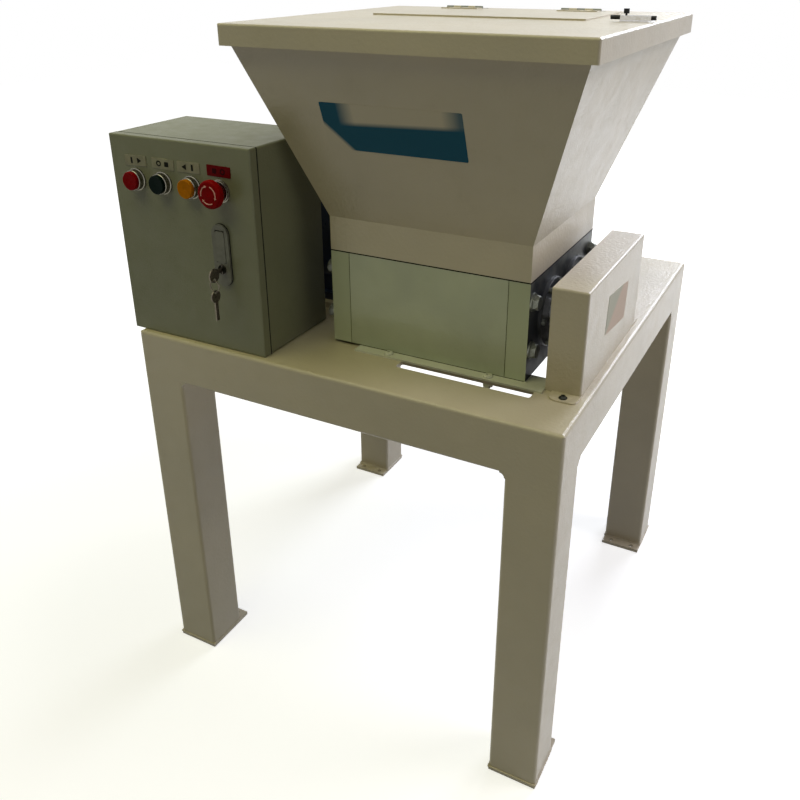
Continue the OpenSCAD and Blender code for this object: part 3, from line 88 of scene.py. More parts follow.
class ShredderSizes(bpy.types.PropertyGroup):
    """Sizes of what is added to the frame."""

    fold_radius: length("Fold radius", "Rounding of sheet folds and plate edges", 0.9 * MM)
    label_w: length("Label width", "Width of a label over a button", 40 * MM)
    label_h: length("Label height", "Height of a label over a button", 15 * MM)
    label_t: length("Label thickness", "Thickness of a label", 0.8 * MM)
    sticker_t: length("Sticker thickness", "Thickness of a vinyl sticker", 0.3 * MM)
    weld_r: length("Weld radius", "Radius of the fillet between a rail and a leg", 7 * MM)
    floor_size: length("Floor size", "Side of the studio floor", 14.0)


class ShredderStudio(bpy.types.PropertyGroup):
    """Camera and lights."""

    position: bpy.props.FloatVectorProperty(
        name="Camera position", description="Where the camera stands", size=3,
        default=(0.5828, -1.2137, 1.1364), subtype="TRANSLATION", unit="LENGTH",
    )
    azimuth: bpy.props.FloatProperty(
        name="Azimuth", description="Turn of the view from +Y", default=math.radians(-28.107), subtype="ANGLE"
    )
    elevation: bpy.props.FloatProperty(
        name="Elevation", description="Rise of the view", default=math.radians(-24.274), subtype="ANGLE"
    )
    roll: bpy.props.FloatProperty(
        name="Roll", description="Roll of the camera", default=math.radians(-0.175), subtype="ANGLE"
    )
    focal_share: bpy.props.FloatProperty(
        name="Focal share", description="Focal length as a share of the image width", default=837.54 / 800
    )
    shift_x: bpy.props.FloatProperty(name="Shift X", description="Horizontal lens shift", default=-0.0069)
    shift_y: bpy.props.FloatProperty(name="Shift Y", description="Vertical lens shift", default=-0.0785)
    key_power: bpy.props.FloatProperty(name="Key", description="Power of the window at the right, in watts", default=35.0)
    back_power: bpy.props.FloatProperty(name="Back", description="Power of the window behind, in watts", default=83.0)
    fill_power: bpy.props.FloatProperty(name="Fill", description="Power of the lamp overhead, in watts", default=32.0)
    low_power: bpy.props.FloatProperty(name="Low", description="Power of the pale wall low at the right, in watts", default=3.0)
    world_level: bpy.props.FloatProperty(name="World", description="Level of the world's light", default=0.025)


# --- materials ---

# Corners of the sticker and of the guard's label, which the fading of their print follows
STICKER_SPAN = (Vector((-20.5 * MM, 0, TABLE_H + 300 * MM)), Vector((176.8 * MM, 0, TABLE_H + 361.5 * MM)))
LABEL_SPAN = (Vector((0, -159 * MM, TABLE_H + 41 * MM)), Vector((0, -52 * MM, TABLE_H + 108 * MM)))
# Nodes whose finish differs from the one of their slot
OWN_FINISH = {
    "lock_key": "nickel", "spare_key": "nickel", "foot_bars": "pale_primer", "foot_bar_bolts": "pale_primer",
    "guard_screws": "dark_screw", "button_bezels": "bezel_metal",
}


def linear(code):
    """An sRGB hex colour as linear red, green, blue and alpha."""
    values = [int(code[i:i + 2], 16) / 255 for i in (0, 2, 4)]
    return (*[v / 12.92 if v <= 0.04045 else ((v + 0.055) / 1.055) ** 2.4 for v in values], 1.0)


def shade(code, factor):
    """A hex colour made lighter or darker, back as hex."""
    values = [min(255, max(0, round(int(code[i:i + 2], 16) * factor))) for i in (0, 2, 4)]
    return "".join(f"{v:02X}" for v in values)


def add(tree, kind, settings=None, **links):
    """Adds a node. Settings are its own properties; links are socket values or other nodes' outputs."""
    node = tree.nodes.new(kind)
    for name, value in (settings or {}).items():
        setattr(node, name, value)
    for name, value in links.items():
        key = int(name[1:]) if name[0] == "i" and name[1:].isdigit() else name.replace("_", " ")
        socket = node.inputs[key]
        if isinstance(value, bpy.types.NodeSocket):
            tree.links.new(value, socket)
        else:
            socket.default_value = value
    return node


def surface(name, **shader):
    """A material with one Principled shader, set up with constants on its own sockets."""
    material = bpy.data.materials.new(name)
    material.use_nodes = True
    tree = material.node_tree
    tree.nodes.clear()
    principled = add(tree, "ShaderNodeBsdfPrincipled", **shader)
    output = add(tree, "ShaderNodeOutputMaterial")
    tree.links.new(principled.outputs[0], output.inputs[0])
    place = add(tree, "ShaderNodeTexCoord").outputs["Object"]
    return material, tree, principled, place


def speckle(tree, place, size, detail=4.0, roughness=0.5):
    """Noise whose blots are about size metres across."""
    return add(
        tree, "ShaderNodeTexNoise", Vector=place, Scale=1 / size, Detail=detail, Roughness=roughness
    ).outputs["Fac"]


def ramp(tree, value, low, high, to_low, to_high):
    """Maps low..high to to_low..to_high."""
    return add(tree, "ShaderNodeMapRange", None, Value=value, i1=low, i2=high, i3=to_low, i4=to_high).outputs[0]


def blend_colours(tree, factor, first, second):
    """Mixes two colours, each a constant or an output."""
    node = add(tree, "ShaderNodeMix", {"data_type": "RGBA"}, i0=factor, i6=first, i7=second)
    return node.outputs[2]


def bump(tree, height, strength, distance, normal=None):
    """A bump from a height. Distance is in metres."""
    node = add(tree, "ShaderNodeBump", None, Height=height, Strength=strength, Distance=distance)
    if normal is not None:
        tree.links.new(normal, node.inputs["Normal"])
    return node.outputs[0]


def powder_coat(name, code, peel=2.6 * MM, wave=0.3 * MM, rough=0.42, spread=0.035, gloss=0.5, coat=0.32):
    """Polyester powder coat: baked on sheet steel, a soft sheen with a faint orange peel and dust."""
    material, tree, shader, place = surface(
        name, IOR=1.5, Specular_IOR_Level=gloss, Coat_Weight=coat, Coat_Roughness=0.16
    )
    clouds = speckle(tree, place, 160 * MM, 3.0)
    grime = speckle(tree, place, 24 * MM, 6.0, 0.65)
    tone = blend_colours(
        tree, ramp(tree, clouds, 0.35, 0.7, 0.0, 1.0), linear(shade(code, 1 - spread)), linear(shade(code, 1 + spread / 2))
    )
    dirty = blend_colours(tree, ramp(tree, grime, 0.60, 0.85, 0.0, 0.14), tone, linear(shade(code, 0.72)))
    tree.links.new(dirty, shader.inputs["Base Color"])
    tree.links.new(ramp(tree, grime, 0.3, 0.75, rough - 0.05, rough + 0.12), shader.inputs["Roughness"])
    # Real peel is about 1 mm across; it is drawn coarser, so that it shows at this distance
    ripples = bump(tree, speckle(tree, place, peel, 2.0), 1.0, wave)
    tree.links.new(ripples, shader.inputs["Normal"])
    tree.links.new(ripples, shader.inputs["Coat Normal"])
    return material


def brushed_metal(name, code, rough, stretch, grain=0.6 * MM, contrast=0.10, metallic=1.0, scratch=0.25):
    """Cut or ground metal: fine lines drawn out along one axis of the frame."""
    material, tree, shader, place = surface(name, Metallic=metallic)
    scaled = add(tree, "ShaderNodeMapping", None, Vector=place, Scale=stretch).outputs[0]
    lines = speckle(tree, scaled, grain, 3.0, 0.6)
    stains = speckle(tree, place, 18 * MM, 5.0, 0.6)
    tone = blend_colours(
        tree, ramp(tree, lines, 0.35, 0.65, 0.0, 1.0), linear(shade(code, 1 - contrast)), linear(shade(code, 1 + contrast))
    )
    tree.links.new(
        blend_colours(tree, ramp(tree, stains, 0.55, 0.8, 0.0, 0.5), tone, linear(shade(code, 0.7))),
        shader.inputs["Base Color"],
    )
    tree.links.new(ramp(tree, lines, 0.3, 0.7, rough - 0.06, rough + 0.1), shader.inputs["Roughness"])
    tree.links.new(bump(tree, lines, scratch, 0.05 * MM), shader.inputs["Normal"])
    return material


def plastic(name, code, rough=0.45, grit=0.9 * MM, gloss=0.5, depth=0.25):
    """Moulded plastic: an even colour with the grain of its mould."""
    material, tree, shader, place = surface(name, IOR=1.49, Specular_IOR_Level=gloss)
    blots = speckle(tree, place, 12 * MM, 3.0)
    tree.links.new(
        blend_colours(tree, ramp(tree, blots, 0.4, 0.7, 0.0, 1.0), linear(code), linear(shade(code, 0.88))),
        shader.inputs["Base Color"],
    )
    tree.links.new(ramp(tree, blots, 0.3, 0.7, rough - 0.03, rough + 0.06), shader.inputs["Roughness"])
    tree.links.new(bump(tree, speckle(tree, place, grit, 2.0), depth, 0.06 * MM), shader.inputs["Normal"])
    return material


def enamel(name, code, rough=0.3):
    """Brushed or sprayed machine enamel over castings: glossy, with a slight cast texture under it."""
    material, tree, shader, place = surface(name, IOR=1.5, Coat_Weight=0.3, Coat_Roughness=0.12)
    cast = speckle(tree, place, 3.5 * MM, 5.0, 0.6)
    clouds = speckle(tree, place, 60 * MM, 3.0)
    tree.links.new(
        blend_colours(tree, ramp(tree, clouds, 0.35, 0.7, 0.0, 1.0), linear(code), linear(shade(code, 0.78))),
        shader.inputs["Base Color"],
    )
    tree.links.new(ramp(tree, cast, 0.3, 0.7, rough - 0.04, rough + 0.14), shader.inputs["Roughness"])
    tree.links.new(bump(tree, cast, 0.3, 0.25 * MM), shader.inputs["Normal"])
    return material


def galvanised(name, code):
    """Hot-dip galvanised sheet: crystals about 12 mm across."""
    material, tree, shader, place = surface(name, Metallic=1.0)
    cells = add(tree, "ShaderNodeTexVoronoi", None, Vector=place, Scale=1 / (12 * MM)).outputs["Color"]
    grey = add(tree, "ShaderNodeSeparateColor", None, Color=cells).outputs[0]
    tree.links.new(blend_colours(tree, grey, linear(shade(code, 0.86)), linear(code)), shader.inputs["Base Color"])
    tree.links.new(ramp(tree, grey, 0.0, 1.0, 0.3, 0.48), shader.inputs["Roughness"])
    return material


def painted_edge_plate(name, steel, paint):
    """Blackened steel plate whose narrow front and rear edges were sprayed with the side plates."""
    material, tree, shader, place = surface(name, IOR=1.5)
    normal = add(tree, "ShaderNodeTexCoord").outputs["Normal"]
    across = add(tree, "ShaderNodeSeparateXYZ", None, Vector=normal).outputs[1]
    facing_y = add(tree, "ShaderNodeMath", {"operation": "ABSOLUTE"}, i0=across).outputs[0]
    sprayed = ramp(tree, facing_y, 0.6, 0.75, 0.0, 1.0)
    stains = speckle(tree, place, 26 * MM, 6.0, 0.65)
    up = add(tree, "ShaderNodeSeparateXYZ", None, Vector=place).outputs[2]
    dust = add(
        tree, "ShaderNodeMath", {"operation": "MULTIPLY"},
        i0=ramp(tree, up, TABLE_H + 50 * MM, TABLE_H + 142 * MM, 0.0, 1.0), i1=ramp(tree, stains, 0.38, 0.58, 0.0, 1.0),
    ).outputs[0]
    worn = blend_colours(tree, dust, linear(steel), linear("6E6F6A"))
    tree.links.new(blend_colours(tree, sprayed, worn, linear(paint)), shader.inputs["Base Color"])
    tree.links.new(ramp(tree, sprayed, 0.0, 1.0, 0.7, 0.0), shader.inputs["Metallic"])
    tree.links.new(ramp(tree, stains, 0.3, 0.7, 0.34, 0.52), shader.inputs["Roughness"])
    tree.links.new(bump(tree, speckle(tree, place, 8 * MM, 2.0), 0.2, 0.12 * MM), shader.inputs["Normal"])
    return material


def faded_vinyl(name, strong, pale, low, high):
    """Cast vinyl whose print fades to the pale ground from a low corner to a high one, in metres of the frame."""
    material, tree, shader, place = surface(name, IOR=1.5, Roughness=0.45, Coat_Roughness=0.16)
    axes = add(tree, "ShaderNodeSeparateXYZ", None, Vector=place)
    along = ramp(tree, axes.outputs[0], low.x, high.x, 0.0, 1.0)
    rise = ramp(tree, axes.outputs[2], low.z, high.z, 0.0, 1.0)
    # Pale in the upper middle, between a tile at the left end and the rise at the right one, and under the tile
    sides = add(
        tree, "ShaderNodeMath", {"operation": "MULTIPLY"},
        i0=ramp(tree, along, 0.12, 0.24, 0.0, 1.0), i1=ramp(tree, along, 0.86, 0.98, 1.0, 0.15),
    ).outputs[0]
    slant = add(tree, "ShaderNodeMath", {"operation": "MULTIPLY_ADD"}, i0=along, i1=-0.12, i2=rise).outputs[0]
    middle = add(
        tree, "ShaderNodeMath", {"operation": "MULTIPLY"}, i0=sides, i1=ramp(tree, slant, 0.50, 0.60, 0.0, 1.0)
    ).outputs[0]
    foot = add(tree, "ShaderNodeMath", {"operation": "MULTIPLY_ADD"}, i0=along, i1=3.0, i2=rise).outputs[0]
    bare = add(
        tree, "ShaderNodeMath", {"operation": "MAXIMUM"}, i0=middle, i1=ramp(tree, foot, 0.50, 0.62, 1.0, 0.0)
    ).outputs[0]
    tree.links.new(blend_colours(tree, bare, linear(strong), linear(pale)), shader.inputs["Base Color"])
    # The print is matt, and the clear film over the worn ground shines as the paint round it does
    tree.links.new(ramp(tree, bare, 0.0, 1.0, 0.12, 0.5), shader.inputs["Specular IOR Level"])
    tree.links.new(ramp(tree, bare, 0.0, 1.0, 0.0, 0.32), shader.inputs["Coat Weight"])
    tree.links.new(bump(tree, speckle(tree, place, 1.5 * MM, 2.0), 0.05, 0.05 * MM), shader.inputs["Normal"])
    return material


def two_tone_label(name, first, second, low, high):
    """A faded paper label, its upper front part printed in another pale colour."""
    material, tree, shader, place = surface(name, IOR=1.49, Roughness=0.55)
    axes = add(tree, "ShaderNodeSeparateXYZ", None, Vector=place)
    along = ramp(tree, axes.outputs[1], low.y, high.y, 0.0, 1.0)
    rise = ramp(tree, axes.outputs[2], low.z, high.z, 1.0, 0.0)
    total = add(tree, "ShaderNodeMath", {"operation": "ADD"}, i0=along, i1=rise).outputs[0]
    part = ramp(tree, total, 0.74, 0.92, 1.0, 0.0)
    tree.links.new(blend_colours(tree, part, linear(first), linear(second)), shader.inputs["Base Color"])
    return material


FINISHES = {}


def make_finishes(paint):
    """One material for each finish, named for what the real one is."""
    FINISHES.update({
        "ivory_paint": powder_coat("powder_coat_ivory", paint.ivory, peel=5 * MM, wave=0.52 * MM),
        "grey_paint": powder_coat("powder_coat_pebble_grey", paint.pebble, rough=0.5, gloss=0.3, coat=0.1),
        "sage_paint": powder_coat("zinc_chromate_sage", paint.sage, peel=8 * MM, rough=0.38, spread=0.10),
        "dark_plate": painted_edge_plate("oil_blackened_steel", paint.plate, paint.sage),
        "navy_paint": enamel("machine_enamel_navy", paint.navy),
        "tool_steel": brushed_metal("ground_tool_steel", "8C8C8E", 0.34, (8, 1, 1), 1.2 * MM, 0.14),
        "shaft_steel": brushed_metal("turned_steel", "A9A9AA", 0.26, (10, 1, 1), 1.0 * MM, 0.10),
        "gear_steel": brushed_metal("hobbed_blackened_steel", "55575C", 0.36, (1, 1, 1), 1.6 * MM, 0.18),
        "bearing_steel": brushed_metal("ground_bearing_ring", "B9BBBE", 0.18, (1, 1, 1), 0.8 * MM, 0.06),
        "cast_grey": enamel("machined_grey_iron", "4A4D52", 0.42),
        "zinc": brushed_metal("dull_zinc_plate", "6C6E66", 0.46, (1, 1, 1), 1.2 * MM, 0.12, metallic=0.8),
        "bezel_metal": brushed_metal("satin_nickel_bezel", "77746A", 0.26, (1, 1, 1), 3.0 * MM, 0.06, scratch=0.06),
        "chrome_trim": brushed_metal("bright_chrome", "D4D4D6", 0.12, (1, 1, 1), 3.0 * MM, 0.04, scratch=0.06),
        # The keys' nickel: worn plate, drawn darker still as painted shade
        "nickel": brushed_metal("worn_nickel_plate_and_painted_shade", "625B50", 0.38, (1, 1, 1), 2.0 * MM, 0.16, metallic=0.95),
        "pale_primer": powder_coat("zinc_primer_pale", "D9DACB", peel=4 * MM, rough=0.5),
        "dark_screw": brushed_metal("blackened_screw", "34352F", 0.42, (1, 1, 1), 1.5 * MM, 0.12),
        "weld": powder_coat("powder_coat_over_weld", shade(paint.ivory, 0.97)),
        # Dark seams between the plates, and a painted shadow line under the chamber
        "seam_shadow": plastic("dirt_and_painted_shadow_in_seam", "4A4C38", 0.8, gloss=0.1, depth=0.1),
        "galvanised": galvanised("galvanised_sheet", "B8BABC"),
        # Black rubber; the same finish also fills the door's gap as painted shade
        "black_rubber": plastic("foam_rubber_and_painted_shade", "0E0E0E", 0.8, 0.8 * MM, gloss=0.15, depth=0.6),
        "black_plastic": plastic("moulded_nylon_black", "101112", 0.48, gloss=0.25),
        "grey_plastic": plastic("die_cast_grey", "787970", 0.42, gloss=0.3),
        "red_plastic": plastic("gloss_acrylic_red", paint.red, 0.3, gloss=0.03, depth=0.08),
        "green_plastic": plastic("gloss_acrylic_dark_green", paint.green, 0.25, gloss=0.03, depth=0.08),
        "amber_plastic": plastic("gloss_acrylic_amber", paint.amber, 0.3, gloss=0.03, depth=0.08),
        "label_face": plastic("engraved_laminate", "ABA898", 0.4, gloss=0.2, depth=0.1),
        "label_ink": plastic("engraved_ink", "12130C", 0.6, gloss=0.05, depth=0.1),
        "label_red": plastic("engraved_laminate_red", "7C0409", 0.4, gloss=0.05, depth=0.1),
        "label_dark_red": plastic("engraved_ink_red", "330306", 0.6, gloss=0.05, depth=0.1),
        "arrow_paint": plastic("pad_printed_pink", "FFC4C0", 0.45, gloss=0.3, depth=0.05),
        "vinyl_blue": faded_vinyl("cast_vinyl_blue", paint.sticker, shade(paint.ivory, 0.99), *STICKER_SPAN),
        "paper_label": two_tone_label("faded_paper_label", "C9B19C", "B1B09B", *LABEL_SPAN),
    })


# --- mesh helpers ---


def piece(name, mesh, body, finish, smooth=30):
    """Links a mesh as a piece of the object, with its finish, on a body."""
    made = bpy.data.objects.new(name, mesh)
    bpy.context.scene.collection.objects.link(made)
    mesh.materials.append(FINISHES[finish])
    for face in mesh.polygons:
        face.use_smooth = True
    mesh.set_sharp_from_angle(angle=math.radians(smooth))
    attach(made, body)
    return made


def bevel(thing, width, segments=2, angle=32):
    """Rounds the sharp edges of a piece or a node."""
    rounding = thing.modifiers.new("rounded_edges", "BEVEL")
    rounding.width = width
    rounding.segments = segments
    rounding.limit_method = "ANGLE"
    rounding.angle_limit = math.radians(angle)
    rounding.harden_normals = False
    rounding.use_clamp_overlap = True
    return rounding


def prism(name, outline, thickness, place, body, finish, round_by=0.0):
    """A flat shape, its outline in a local X-Y plane, raised along local Z, put in place by a matrix."""
    form = bmesh.new()
    base = form.faces.new([form.verts.new((x, y, 0)) for x, y in outline])
    if base.normal.z > 0:
        base.normal_flip()
    raised = bmesh.ops.extrude_face_region(form, geom=[base])
    top = [v for v in raised["geom"] if isinstance(v, bmesh.types.BMVert)]
    bmesh.ops.translate(form, vec=(0, 0, thickness), verts=top)
    bmesh.ops.recalc_face_normals(form, faces=form.faces)
    if round_by:
        rim = [e for e in form.edges if all(v in top for v in e.verts)]
        bmesh.ops.bevel(form, geom=rim, offset=round_by, segments=2, affect="EDGES")
    form.transform(place)
    mesh = bpy.data.meshes.new(name)
    form.to_mesh(mesh)
    form.free()
    return piece(name, mesh, body, finish)


def rounded(w, h, r, steps=5):
    """Outline of a rectangle with rounded corners, centred."""
    points = []
    for cx, cy, start in ((w / 2 - r, h / 2 - r, 0), (r - w / 2, h / 2 - r, 90), (r - w / 2, r - h / 2, 180), (w / 2 - r, r - h / 2, 270)):
        for i in range(steps + 1):
            a = math.radians(start + 90 * i / steps)
            points.append((cx + r * math.cos(a), cy + r * math.sin(a)))
    return points


def arc_band(r, width, start, end, steps=12):
    """Outline of a curved band, angles in degrees."""
    angles = [math.radians(start + (end - start) * i / steps) for i in range(steps + 1)]
    outer = [((r + width / 2) * math.cos(a), (r + width / 2) * math.sin(a)) for a in angles]
    inner = [((r - width / 2) * math.cos(a), (r - width / 2) * math.sin(a)) for a in reversed(angles)]
    return outer + inner


def facing(position, normal, up=Vector((0, 0, 1))):
    """A matrix that puts local Z along a normal, local Y as near to up as it can be."""
    z = Vector(normal).normalized()
    x = up.cross(z).normalized()
    y = z.cross(x)
    turn = Matrix((x, y, z)).transposed().to_4x4()
    return Matrix.Translation(position) @ turn


# --- operators: the frame's own nodes ---

ROUNDING = {
    "legs": 0.0, "apron_rails": 0.0, "table_top": 1.2, "foot_plates": 1.0,
    "chamber_end_left": 1.2, "chamber_end_right": 1.2, "chamber_front_plate": 1.0, "chamber_rear_plate": 1.0,
    "foot_bars": 0.7, "scraper_fingers": 0.5, "drive_cutters": 0.5, "driven_cutters": 0.5,
    "gear_guard": 0.5, "gearbox_casing": 1.5, "gearbox_base": 1.2, "motor_terminal_box": 0.8,
    "hopper_front_panel": 0.8, "hopper_rear_panel": 0.8, "hopper_left_panel": 0.8, "hopper_right_panel": 0.8,
    "feed_lid": 0.5, "box_door": 0.6, "chamber_bolts": 0.4, "foot_bar_bolts": 0.4, "gearbox_bolts": 0.4,
    "latch_base": 0.3, "lock_plate": 0.5, "lock_handle": 0.8, "switchgear": 0.6, "mounting_plate": 0.4,
    "drive_timing_gear": 0.4, "driven_timing_gear": 0.4,
}


class SHREDDER_OT_finishes(bpy.types.Operator):
    """Gives each CAD node its material and a small rounding on its sharp edges"""

    bl_idname = "shredder.finishes"
    bl_label = "Finish the frame"

    def execute(self, context):
        make_finishes(context.scene.shredder_paint)
        slots = {entry["node"]: entry["material_slot"] for entry in frame["record"]["subparts"]}
        for name, thing in frame["nodes"].items():
            thing.data.materials.clear()
            thing.data.materials.append(FINISHES[OWN_FINISH.get(name, slots[name])])
            width = ROUNDING.get(name, 0.0)
            if width:
                bevel(thing, width * MM)
        return {"FINISHED"}


class SHREDDER_OT_control_labels(bpy.types.Operator):
    """Label plates over the buttons, with plain symbols, and the emergency stop's arrows"""

    bl_idname = "shredder.control_labels"
    bl_label = "Control labels"

    def execute(self, context):
        sizes = context.scene.shredder_sizes
        low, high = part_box("box_door")
        face = low.y
        height = TABLE_H + 265.5 * MM
        front = Vector((0, -1, 0))
        places = (-311, -260.5, -214.5, -162)
        tilts = (2.0, -1.2, 1.0, -0.6)
        for i, x in enumerate(places):
            tilt = Matrix.Rotation(math.radians(tilts[i]), 4, "Z")
            spot = facing(Vector((x * MM, face - 0.05 * MM, height)), front) @ tilt
            finish = "label_red" if i == 3 else "label_face"
            prism(
                f"button_label_{i + 1}", rounded(sizes.label_w, sizes.label_h, 1.2 * MM), sizes.label_t,
                spot, "door", finish, 0.25 * MM,
            )
        # Two plain symbols on each label; the red one has a dark square and a dark ring
        bar = [(-1.3, -3.6), (1.3, -3.6), (1.3, 3.6), (-1.3, 3.6)]
        play = [(-2.6, -3.4), (3.2, 0), (-2.6, 3.4)]
        square = [(-2.8, -2.8), (2.8, -2.8), (2.8, 2.8), (-2.8, 2.8)]
        ring = arc_band(2.6, 1.6, 0, 359.5, 24)
        back = [(2.6, 3.4), (-3.2, 0), (2.6, -3.4)]
        marks = ((bar, play), (ring, square), (back, bar), (square, ring))
        top = sizes.label_t - 0.05 * MM
        for i, (x, pair) in enumerate(zip(places, marks)):
            tilt = Matrix.Rotation(math.radians(tilts[i]), 4, "Z")
            for k, outline in enumerate(pair):
                shift = Matrix.Translation(((-7 + 14 * k) * MM, 0, top))
                spot = facing(Vector((x * MM, face - 0.05 * MM, height)), front) @ tilt @ shift
                points = [(1.3 * u * MM, 1.2 * v * MM) for u, v in outline]
                finish = "label_dark_red" if i == 3 else "label_ink"
                prism(f"symbol_{i + 1}_{k + 1}", points, 0.25 * MM, spot, "door", finish)
        low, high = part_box("emergency_stop")
        centre = (low + high) / 2
        # The arcs lie on the head's face, each with a small head at its end
        spot = facing(Vector((centre.x, low.y + 0.48 * MM, centre.z)), front)
        r = 12.2 * MM
        for turn, start, end in ((1, 190, 112), (2, 72, -14), (3, 300, 226)):
            outline = arc_band(r, 1.5 * MM, start, end, 14)
            prism(f"stop_arc_{turn}", outline, 0.5 * MM, spot, "estop", "arrow_paint")
            a, tip = math.radians(end), math.radians(end - 14)
            head = [
                ((r + 1.9 * MM) * math.cos(a), (r + 1.9 * MM) * math.sin(a)),
                ((r - 1.9 * MM) * math.cos(a), (r - 1.9 * MM) * math.sin(a)),
                (r * math.cos(tip), r * math.sin(tip)),
            ]
            prism(f"stop_head_{turn}", head, 0.5 * MM, spot, "estop", "arrow_paint")
        return {"FINISHED"}


class SHREDDER_OT_lock_trim(bpy.types.Operator):
    """The black gasket under the lock's plate, a black strip of painted shade in the door's gap and the black face of
    its barrel
    """

    bl_idname = "shredder.lock_trim"
    bl_label = "Lock trim"

    def execute(self, context):
        low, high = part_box("lock_plate")
        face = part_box("box_door")[0].y
        front = Vector((0, -1, 0))
        centre = (low + high) / 2
        w, h = high.x - low.x + 1.2 * MM, high.z - low.z + 1.2 * MM
        spot = facing(Vector((centre.x, face - 0.02 * MM, centre.z)), front)
        prism("lock_gasket", rounded(w, h, w / 2 - 0.01 * MM, 12), 1.0 * MM, spot, "door", "black_rubber", 0.3 * MM)
        # Painted shade: a black strip in the joint between the door's rim and the box, a hair under both faces
        box_low, box_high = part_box("box_body")
        rim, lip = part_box("box_door")[1].y, box_low.y
        gap, deep, under = lip - rim, 1.5 * MM, 0.35 * MM
        x0, x1, z0, z1 = box_low.x + under, box_high.x - under, box_low.z + under, box_high.z - under
        form = bmesh.new()
        for a, b, c, d in ((x0, z1 - deep, x1, z1), (x0, z0, x1, z0 + deep), (x0, z0 + deep, x0 + deep, z1 - deep), (x1 - deep, z0 + deep, x1, z1 - deep)):
            middle = Matrix.Translation(((a + c) / 2, lip - gap * 0.48, (b + d) / 2))
            bmesh.ops.create_cube(form, size=1.0, matrix=middle @ Matrix.Diagonal((c - a, gap * 0.9, d - b, 1)))
        mesh = bpy.data.meshes.new("door_gap_painted_shade")
        form.to_mesh(mesh)
        form.free()
        piece("door_gap_painted_shade", mesh, "frame", "black_rubber")
        # The barrel's face is two half discs, one on each side of the key
        key_x, key_z = -168 * MM, TABLE_H + 127 * MM
        spot = facing(Vector((key_x, low.y - 1.15 * MM, key_z)), front)
        for side in (-1, 1):
            arc = [math.radians(-84 + 168 * i / 16) for i in range(17)]
            outline = [(side * 6.8 * MM * math.cos(a), 6.8 * MM * math.sin(a)) for a in arc]
            prism(f"barrel_face_{side + 2}", outline, 0.5 * MM, spot, "key", "label_ink", 0.1 * MM)
        return {"FINISHED"}


class SHREDDER_OT_stickers(bpy.types.Operator):
    """The plain blue sticker on the hopper's front and the bare label on the guard"""

    bl_idname = "shredder.stickers"
    bl_label = "Stickers"

    def execute(self, context):
        sizes = context.scene.shredder_sizes
        # The front panel leans out: from (y -251, z 194) to (y -347.7, z 450.5) above the table
        low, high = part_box("hopper_front_panel")
        foot = Vector((0, -251.0 * MM, TABLE_H + 194.0 * MM))
        head = Vector((0, low.y, high.z))
        up = (head - foot).normalized()
        normal = Vector((1, 0, 0)).cross(up).normalized()
        middle_z = TABLE_H + 330.7 * MM
        share = (middle_z - foot.z) / (head.z - foot.z)
        centre = foot.lerp(head, share) + Vector((78.2 * MM, 0, 0))
        spot = facing(centre, normal, up)
        w, h = 197.5 * MM, 61.5 * MM / up.z
        prism("hopper_sticker", rounded(w, h, 2 * MM), sizes.sticker_t, spot, "frame", "vinyl_blue")
        low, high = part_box("gear_guard")
        spot = facing(Vector((high.x - 0.02 * MM, -105.5 * MM, TABLE_H + 74.5 * MM)), Vector((1, 0, 0)))
        spot = spot @ Matrix.Rotation(math.radians(-6), 4, "Z")
        prism("guard_label", rounded(104 * MM, 56 * MM, 2 * MM), sizes.sticker_t, spot, "frame", "paper_label")
        return {"FINISHED"}


def bead(name, path, r, sections=7):
    """A weld bead along a closed path: its radius ripples as a hand-laid seam's does."""
    form = bmesh.new()
    rings = []
    count = len(path)
    for i, point in enumerate(path):
        ahead = (path[(i + 1) % count] - path[i - 1]).normalized()
        side = ahead.cross(Vector((0, 0, 1))).normalized()
        swell = r * (1 + 0.22 * noise.noise(point * 420) + 0.10 * math.sin(i * 2.1))
        ring = []
        for k in range(sections):
            a = 2 * math.pi * k / sections
            ring.append(form.verts.new(point + side * swell * math.cos(a) + Vector((0, 0, swell * math.sin(a)))))
        rings.append(ring)
    for i in range(count):
        for k in range(sections):
            form.faces.new((rings[i][k], rings[i - 1][k], rings[i - 1][k - 1], rings[i][k - 1]))
    bmesh.ops.recalc_face_normals(form, faces=form.faces)
    mesh = bpy.data.meshes.new(name)
    form.to_mesh(mesh)
    form.free()
    return piece(name, mesh, "frame", "weld", 60)


def around(x0, y0, x1, y1, z, pitch):
    """Points round a rectangle, about a pitch apart."""
    corners = [Vector((x0, y0, z)), Vector((x1, y0, z)), Vector((x1, y1, z)), Vector((x0, y1, z))]
    points = []
    for i, start in enumerate(corners):
        end = corners[(i + 1) % 4]
        steps = max(2, round((end - start).length / pitch))
        points += [start.lerp(end, k / steps) for k in range(steps)]
    return points


